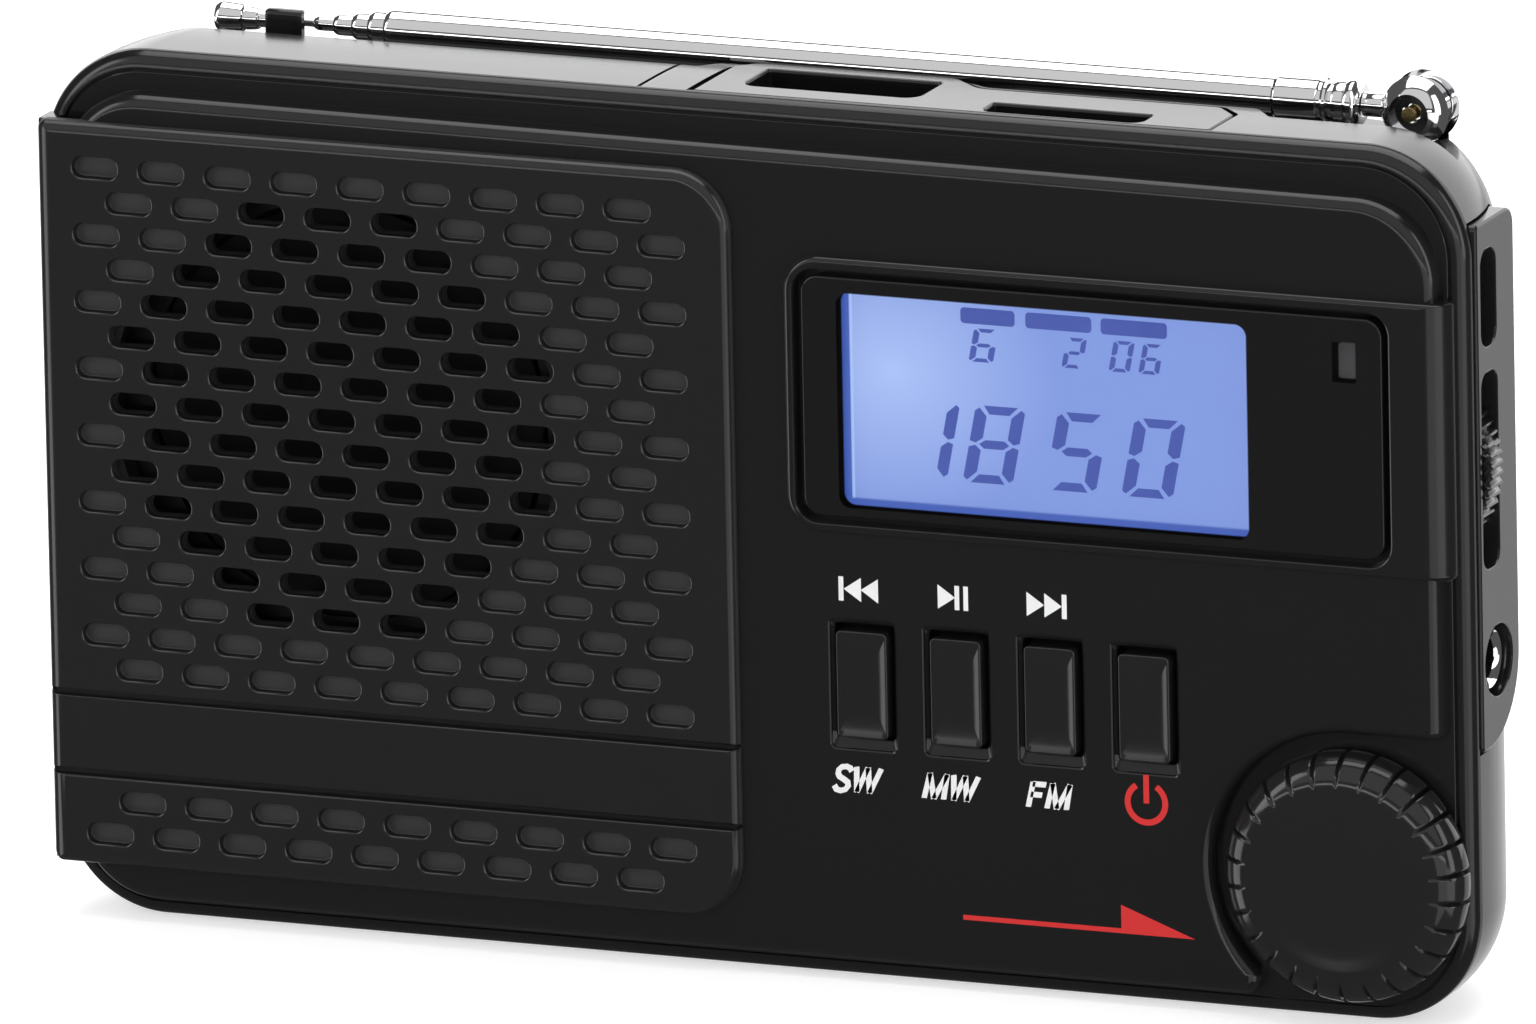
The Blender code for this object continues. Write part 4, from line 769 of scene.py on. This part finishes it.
def cutter(target, skin, label):
    """Takes the skin's closed shape out of the target."""
    mesh = surface(label, skin.place().tolist(), skin.faces)
    close_seams(mesh)
    tool = add_object(label, mesh)
    modifier = target.modifiers.new(label, "BOOLEAN")
    modifier.operation = "DIFFERENCE"
    modifier.solver = "EXACT"
    modifier.object = tool
    bpy.context.view_layer.update()
    evaluated = target.evaluated_get(bpy.context.evaluated_depsgraph_get())
    target.data = bpy.data.meshes.new_from_object(evaluated)
    target.modifiers.remove(modifier)
    bpy.data.objects.remove(tool)


def block(line, start, end, view):
    """A closed prism of an outline."""
    skin = Skin(view)
    skin.solid(skin.ring(line, start), skin.ring(line, end))
    return skin


back = Skin()
shell_rows(back, (0, 0, 0, 0), curve_start, rear, 14.0, 6.0, 5.0, shell_front)
back_mesh = surface("back", back.place().tolist(), back.faces)
close_seams(back_mesh)
back_body = add_object("back_body", back_mesh)
cavity = Skin()
shell_rows(cavity, (1.8, 3.7, 1.8, 3.4), curve_start, 13.5, 6.0, 1.0, 1.0, 0.0)
cutter(back_body, cavity, "cavity")
tray_rear = [(39.2, 9.9, 0.8), (37.2, 12.1, 1.2), (16.3, 12.1, 2.2), (13.4, 14.8, 2.2), (-4.0, 14.8, 2.2),
             (-5.6, 13.1, 1.2)]
tray_line = outline([(-5.6, 2.0, 0), (39.2, 2.0, 0), *tray_rear], 8)
ledge_line = outline([(-75, 12.5, 0), (-8.2, 12.5, 0.6), (-7.0, 15.4, 0.6), (13.2, 15.4, 1.5),
                      (16.6, 12.8, 1.2), (39.9, 12.8, 1.0), (42.0, 9.9, 1.0), (75, 9.9, 0), (75, 40, 0),
                      (-75, 40, 0)], 8)
window_line = outline([(-4.4, 2.0, 0), (38.0, 2.0, 0), (38.0, 9.4, 0), (36.7, 10.9, 0), (15.8, 10.9, 0),
                       (12.9, 13.6, 0), (-3.4, 13.6, 0), (-4.4, 12.6, 0)])
plate_line = outline([(2, 22.4, 0), (12.2, 22.4, 7.0), (12.2, 65.6, 1.5), (2, 65.6, 0)], 14)
ball_x, axis_depth = 52.0, 17.4
cuts = [("ledge", ledge_line, 69.4, 80, "top"), ("tray_seat", grow(tray_line, 0.22), 69.9, 80, "top"),
        ("tray_window", window_line, 60.0, 80, "top"),
        ("ball_seat", ring_points(ball_x, axis_depth, 2.8, 48), 66.7, 80, "top"),
        ("top_groove", rectangle(-10.1, -9.75, 2, 20, 0.05, 1), 71.1, 80, "top"),
        ("plate_seat", grow(plate_line, 0.18), 59.6, 80, "side"),
        ("plate_window", rectangle(2, 11.0, 24.5, 64.0, 3.0), 50.0, 70, "side"),
        ("clip_seat", rectangle(-47.5, -43.7, 15.6, 18.8, 0.2, 2), 68.2, 80, "top"),
        ("door_seat", rectangle(-14.0, 47.3, 10.0, 50.0, 2.3), 21.1, 40, "front"),
        ("battery_bay", rectangle(-11.4, 44.6, 12.3, 47.7, 1.5), 14.8, 40, "front")]
for x, z in ((-54.0, 8.0), (-54.0, 62.2), (36.1, 6.6), (47.0, 63.4)):
    cuts.append(("screw_recess", ring_points(x, z, 3.0, 40), 14.8, 40, "front"))
for label, line, start, end, view in cuts:
    cutter(back_body, block(line, start, end, view), label)
back_mesh = back_body.data
bpy.data.objects.remove(back_body)
finish_piece("back_shell_skin", back_mesh, satin_black, "case", ["back_shell"], 30)

# ------------------------ top tray
# A separate moulded strip let into the top. It has a wide mouth for a memory stick and a narrow one
# for a memory card, both with bevelled lips.
tray = Skin("top")
tray_edge = grow(outline([(-5.6, 4.3, 0.4), (39.2, 4.3, 0.4), *tray_rear], 8), -0.16)
tray_low, tray_high = 70.3, 71.74
foot, crown_row = tray.sweep(tray_edge, [(0, tray_low), (0, 71.6), (-0.06, 71.7), (-0.15, tray_high)])
stick_mouth = outline([(-2.3, 7.25, 1.2), (12.7, 7.25, 1.2), (12.7, 12.95, 0.4), (-2.3, 12.95, 0.4)], 5)
card_mouth = outline([(19.3, 4.9, 0.9), (32.9, 4.9, 0.9), (32.9, 7.8, 0.3), (19.3, 7.8, 0.3)], 5)
mouth_tops, mouth_feet = [], []
for mouth in (stick_mouth, card_mouth):
    top_row, foot_row = tray.sweep(mouth, [(0.22, tray_high), (0.08, 71.68), (0, 71.5), (0, tray_low)])
    mouth_tops.append(top_row)
    mouth_feet.append(foot_row)
tray.fill(crown_row, *mouth_tops)
tray.fill(foot, *mouth_feet)
tray.make("top_panel_skin", satin_black, "case", "case_plastic", ["top_panel"], 20)

# ------------------------ side panel
# A gloss panel set into the right side and proud of it. It frames the charging socket, the slot of
# the volume wheel and the headphone jack.
plate = Skin("side")
plate_edge = outline([(4.1, 22.4, 0.5), (12.2, 22.4, 7.0), (12.2, 65.6, 1.5), (4.1, 65.6, 0.5)], 14)
plate_inner, plate_outer = 59.9, 61.9
foot, face_row = plate.sweep(plate_edge, [(0, plate_inner), (0, 61.72), (-0.08, 61.84), (-0.2, plate_outer)])
jack_depth, jack_z = 7.7, 29.3
openings = [rectangle(4.95, 8.15, 55.35, 63.25, 1.3, 8), rectangle(4.8, 8.2, 37.2, 53.2, 1.2, 8),
            ring_points(jack_depth, jack_z, 2.9, 48)]
face_rows, foot_rows = [], []
for opening in openings:
    first, last = plate.sweep(opening, [(0.14, plate_outer), (0.04, 61.86), (0, 61.75), (0, plate_inner)])
    face_rows.append(first)
    foot_rows.append(last)
plate.fill(face_row, *face_rows)
plate.fill(foot, *foot_rows)
plate.make("side_panel_skin", gloss_black, "case", "trim_plastic", ["side_panel"], 20)

# ------------------------ headphone jack ring
# A turned collar of bright metal round the jack's mouth, with a rolled lip.
chrome_look = Look("bright_chrome", (0.86, 0.86, 0.87), 0.05, 1.0)
chrome_look.feed("Roughness", chrome_look.noise(1500.0, 3.0, (0.03, 1.0, 1.0)) * 0.07 + 0.03)
chrome = chrome_look.bump(chrome_look.noise(5000.0, 2.0, (0.05, 1.0, 1.0)), 4e-7).material
lip = [(1.8, 59.9), (1.8, 60.7), (2.1, 61.05), (2.35, 61.18), (2.5, 61.1), (2.6, 60.9), (2.6, 59.9)]
ring_mesh = turned(lip, "X", (0.0, jack_depth * mm - grille_face, jack_z * mm), 64, True)
finish_piece("jack_collar", ring_mesh, chrome, "case", ["headphone_jack_ring"], 35)

# ------------------------ telescopic antenna
# Chromed brass tubes, each sliding in the one before. The thick one ends in a stepped collar on a
# neck that pivots in a forked ball, and the thinnest carries a round tip held by a black clip.
axis_z = 71.5
axis = (0.0, axis_depth * mm - grille_face, axis_z * mm)
hinge = (ball_x * mm, *axis[1:])
tube_end, radii = 39.75, (1.65, 1.4, 1.14, 0.88, 0.6, 0.36)
tips = (-37.2, -38.7, -40.2, -41.9, -43.7, -50.0)
bodies = ("antenna_arm", *["antenna_stage_%d" % stage for stage in range(2, 7)])
for i, (radius, tip, body) in enumerate(zip(radii, tips, bodies)):
    start = tube_end - (0 if i == 0 else 2.6 + i)
    bore = radius - 0.15 if i < 5 else 0.02
    profile = [(bore, start), (radius, start), (radius, tip + 0.5), (radius - 0.02, tip + 0.25),
               (radius - 0.1, tip + 0.06), (radius - 0.14, tip), (bore, tip), (bore, tip + 0.6)]
    tube = turned(profile, "X", axis, 48, i < 5)
    section = "antenna_section_%d" % (i + 1)
    finish_piece("antenna_tube_%d" % (i + 1), tube, chrome, body, [section], 35)
collar = [(1.2, 37.6), (1.38, 37.6), (1.38, 39.85), (1.8, 40.0), (1.84, 40.15), (1.84, 43.6), (1.7, 43.75),
          (1.66, 43.95), (1.98, 44.1), (2.05, 44.3), (1.98, 44.5), (1.62, 44.65), (1.6, 44.9), (1.8, 45.0),
          (1.84, 45.15), (1.84, 45.9), (1.6, 46.0), (1.98, 46.1), (2.05, 46.3), (2.05, 46.7), (1.9, 46.9),
          (1.45, 47.2), (0.9, 47.2)]
cuff = turned(collar, "X", axis, 64)
finish_piece("antenna_cuff", cuff, chrome, "antenna_arm", ["antenna_collar"], 35)
cap = [(0.02, -47.3), (0.62, -47.35), (0.7, -47.5), (0.7, -48.4), (0.62, -48.5), (0.85, -48.6), (0.92, -48.8),
       (1.0, -49.6), (0.9, -49.75), (1.05, -49.85), (1.15, -50.0), (1.3, -51.6), (1.3, -51.9), (1.15, -52.15),
       (0.7, -52.25), (0.02, -52.25)]
tip_knob = turned(cap, "X", axis, 48)
finish_piece("antenna_knob", tip_knob, chrome, "antenna_stage_6", ["antenna_tip"], 35)

neck = turned([(0.98, 47.3), (1.0, 47.35), (1.0, 50.2), (0.98, 50.3)], "X", axis, 40)
finish_piece("antenna_neck", neck, chrome, "antenna_arm", ["antenna_elbow"], 35)
disc_profile = [(0.7, -1.0), (2.2, -1.0), (2.3, -0.9), (2.3, 0.9), (2.2, 1.0), (0.7, 1.0)]
disc = turned(disc_profile, "Y", hinge, 48, True)
finish_piece("antenna_eye", disc, chrome, "antenna_arm", (), 35)
ball_radius, fork_half = 3.15, 1.2
ball_arc = [(ball_radius * cos(t), ball_radius * sin(t)) for t in np.radians(np.linspace(-44, 89, 28))]
swivel = turned([(0.9, -6.2), (2.3, -6.2), (2.3, -2.3), *ball_arc], "Z", hinge, 96)
close_seams(swivel)
ball_object = add_object("ball", swivel)
fork = rectangle(40, 64, axis_depth - fork_half, axis_depth + fork_half, 0.1, 1)
cutter(ball_object, block(fork, 68.9, 80, "top"), "fork")
cutter(ball_object, block(ring_points(ball_x, axis_z, 1.7, 48), 5, axis_depth - 1.9, "front"), "pin_sink")
cutter(ball_object, block(ring_points(ball_x, axis_z, 0.8, 32), 5, 30, "front"), "pin_hole")
swivel = ball_object.data
bpy.data.objects.remove(ball_object)
finish_piece("antenna_ball", swivel, chrome, "antenna_base", ["antenna_swivel"], 30)

clip = Skin("side")
clip_line = outline([(15.95, 68.6, 0.1), (18.3, 68.6, 0.1), (18.3, 70.05, 0.1), (15.95, 70.05, 0.15),
                     (15.95, 72.5, 0.15), (16.15, 72.9, 0.2), (15.1, 72.9, 0.4), (15.05, 69.6, 0.1),
                     (15.95, 69.6, 0)], 5)
clip_ends = ((0.14, -47.2), (0.04, -47.1), (0, -46.9), (0, -44.3), (0.04, -44.1), (0.14, -44.0))
clip.solid(*[clip.ring(grow(clip_line, -inset) if inset else clip_line, x) for inset, x in clip_ends])
clip.make("antenna_cradle", gloss_black, "case", "trim_plastic", ["antenna_clip"], 35)

# ------------------------ pieces kept from the CAD
# The works inside the case and the plain outer pieces keep their CAD shape. Each takes a finish of
# its own: plated steel, brass, green laminate, paper, ferrite, copper wire, foil and soft sleeves.
steel = Look("plated_steel", (0.55, 0.55, 0.56), 0.28, 1.0).worn(0.12, 3000.0, 1e-6).material
socket_dark = Look("dark_socket", (0.012, 0.012, 0.012), 0.4, 0.0).worn(0.08, 3000.0, 1e-6).material
gold = Look("gold_contact", (0.3, 0.15, 0.07), 0.35, 1.0).worn(0.1, 3000.0, 5e-7).material
brass = Look("bright_brass", (0.72, 0.52, 0.22), 0.28, 1.0).worn(0.1, 3000.0, 5e-7).material
laminate_look = Look("green_laminate", (0.01, 0.11, 0.045), 0.4, Coat_Weight=0.4)
tracks = laminate_look.noise(900.0, 1.0).above(0.55, 0.02)
laminate_look.feed("Base Color", laminate_look.mix(tracks, (0.008, 0.1, 0.04), (0.014, 0.15, 0.06)))
laminate = laminate_look.bump(laminate_look.noise(900.0, 1.0).above(0.55, 0.03), 2e-5).material
paper = Look("pressed_paper", (0.008, 0.008, 0.008), 0.9).worn(0.1, 5000.0, 2e-5).material
ferrite = Look("grey_ferrite", (0.05, 0.047, 0.043), 0.6).worn(0.15, 2500.0, 1e-5).material
copper_look = Look("wound_copper", (0.62, 0.26, 0.11), 0.35, 1.0)
_, (x_at, y_at, z_at) = copper_look.position()
copper = copper_look.bump((x_at * 16000.0).math("SINE"), 4e-5).material
foil_look = Look("battery_foil", (0.05, 0.06, 0.08), 0.45)
_, (x_at, y_at, z_at) = foil_look.position()
foil_look.feed("Base Color", foil_look.mix(z_at.above(0.03, 0.0004), (0.05, 0.06, 0.08), (0.25, 0.27, 0.3)))
foil = foil_look.bump(foil_look.noise(400.0, 3.0), 3e-5).material
milky = Look("milky_plastic", (0.8, 0.83, 0.9), 0.5).worn(0.1, 3000.0, 1e-6).material
red_sleeve = Look("red_sleeve", (0.45, 0.02, 0.015), 0.5).worn(0.1, 3000.0, 1e-6).material
black_sleeve = Look("black_sleeve", (0.02, 0.02, 0.02), 0.5).worn(0.1, 3000.0, 1e-6).material
finishes = [
    (satin_black, ["battery_cover"]), (foil, ["battery"]), (laminate, ["main_board", "volume_control"]),
    (steel, ["tuning_encoder", "card_socket", "speaker_magnet", "antenna_screw", "case_screw_1",
             "case_screw_2", "case_screw_3", "case_screw_4", "board_screw_1", "board_screw_2",
             "board_screw_3", "speaker_screw_1", "speaker_screw_2"]),
    (gold, ["charging_socket"]), (brass, ["antenna_pin", "battery_contact_1", "battery_contact_2"]),
    (socket_dark, ["speaker_basket", "usb_socket", "headphone_jack", "key_switch_1", "key_switch_2",
                   "key_switch_3", "key_switch_4"]),
    (milky, ["backlight_panel", "indicator_lamp"]), (paper, ["speaker_cone"]), (ferrite, ["ferrite_rod"]),
    (copper, ["ferrite_coil"]), (red_sleeve, ["speaker_wire_red"]), (black_sleeve, ["speaker_wire_black"])]
for material, names in finishes:
    for name in names:
        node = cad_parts[name]
        set_finish(node.data, material, 32)

# ------------------------ floor, light and camera
# A pale floor that fades to white, a wide soft light overhead, a bright wall behind that the top
# and the right side mirror, and a narrow light that draws the edges of the front.
floor_mesh = surface("floor", [(-3, -3, 0), (3, -3, 0), (3, 5, 0), (-3, 5, 0)], [(0, 1, 2, 3)])
floor = add_object("floor", floor_mesh)
floor_mesh.materials.append(Look("white_floor", (0.9, 0.9, 0.9), 0.8, Emission_Color=(1, 1, 1, 1),
                                 Emission_Strength=0.55, Specular_IOR_Level=0.1).material)
floor.visible_glossy = False
room = (-9, 9)
corners = [(x, y, z) for x in room for y in room for z in room]
sides = [(0, 1, 3, 2), (4, 6, 7, 5), (0, 4, 5, 1), (2, 3, 7, 6), (0, 2, 6, 4), (1, 5, 7, 3)]
backdrop_mesh = surface("backdrop", corners, sides)
backdrop = add_object("backdrop", backdrop_mesh)
backdrop_mesh.materials.append(Look("white_backdrop", (0, 0, 0), 1.0, Emission_Color=(1, 1, 1, 1),
                                    Emission_Strength=1.0).material)
backdrop.visible_glossy = False
backdrop.visible_diffuse = False
backdrop.visible_shadow = False
backdrop.visible_transmission = False
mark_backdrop(floor, backdrop)


def card(name, corners, strength):
    """A glowing white card that lights the object and shows in its gloss."""
    mesh = surface(name, corners, [(0, 1, 2, 3)])
    glow = Look(name, (0, 0, 0), 1.0, Emission_Color=(1, 1, 1, 1), Emission_Strength=strength)
    mesh.materials.append(glow.material)
    obj = add_object(name, mesh)
    obj.visible_camera = False
    obj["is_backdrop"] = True


def wall(name, across, y, up, strength):
    """A card that stands across the view."""
    x0, x1 = across
    z0, z1 = up
    card(name, [(x0, y, z0), (x1, y, z0), (x1, y, z1), (x0, y, z1)], strength)


wall("back_upper", (-1.8, 1.8), 1.3, (0.02, 1.3), 2.0)
wall("back_lower", (-1.8, 1.8), 1.3, (-1.2, 0.0), 1.0)
wall("front_upper", (-2.5, 2.5), -1.5, (0.5, 4.0), 0.65)
wall("front_lower_right", (0.45, 1.6), -1.1, (-0.7, 0.05), 0.9)
wall("front_strip", (-1.6, 2.2), -1.5, (0.12, 0.24), 3.5)
card("top_card", [(-0.5, -0.25, 1.0), (0.5, -0.25, 1.0), (0.5, 0.6, 1.0), (-0.5, 0.6, 1.0)], 2.6)
card("low_left", [(-1.2, -1.0, -0.7), (-1.2, -0.25, -0.7), (-1.2, -0.25, 0.0), (-1.2, -1.0, 0.0)], 2.2)
card("low_right", [(1.2, -1.0, -0.7), (1.2, -0.25, -0.7), (1.2, -0.25, 0.0), (1.2, -1.0, 0.0)], 1.3)
card("left_card", [(-0.95, -0.55, 0.1), (-0.8, -0.8, 0.1), (-0.8, -0.8, 0.9), (-0.95, -0.55, 0.9)], 3.2)
card("right_card", [(0.85, -0.35, -0.1), (0.95, -0.1, -0.1), (0.95, -0.1, 0.9), (0.85, -0.35, 0.9)], 2.6)

world = bpy.data.worlds.new("room")
bpy.context.scene.world = world
world.use_nodes = True
air = world.node_tree.nodes["Background"]
air.inputs["Color"].default_value = (1, 1, 1, 1)
air.inputs["Strength"].default_value = 0.09

azimuth, elevation, tilt = radians(22.763), radians(14.135), radians(-1.1485)
backward = Vector((sin(azimuth) * cos(elevation), -cos(azimuth) * cos(elevation), sin(elevation)))
rightward = Vector((cos(azimuth), sin(azimuth), 0))
upward = backward.cross(rightward)
right_axis = cos(tilt) * rightward + sin(tilt) * upward
up_axis = -sin(tilt) * rightward + cos(tilt) * upward
offset_x, offset_y = 2.532, -42.109
distance = 3000.0
center = Vector((4.1, -11.5, -4.7)) - right_axis * offset_x - up_axis * offset_y + backward * distance
camera_data = bpy.data.cameras.new("camera")
camera_data.sensor_width = 36.0
camera_data.lens = 24.3441732 * camera_data.sensor_width
camera_data.clip_end = 100
camera = add_object("camera", camera_data)
turn = Matrix((right_axis, up_axis, backward)).transposed().to_4x4()
camera.matrix_world = Matrix.Translation(center * mm) @ turn
bpy.context.scene.camera = camera
bpy.context.scene.view_settings.view_transform = "Standard"

low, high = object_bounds()
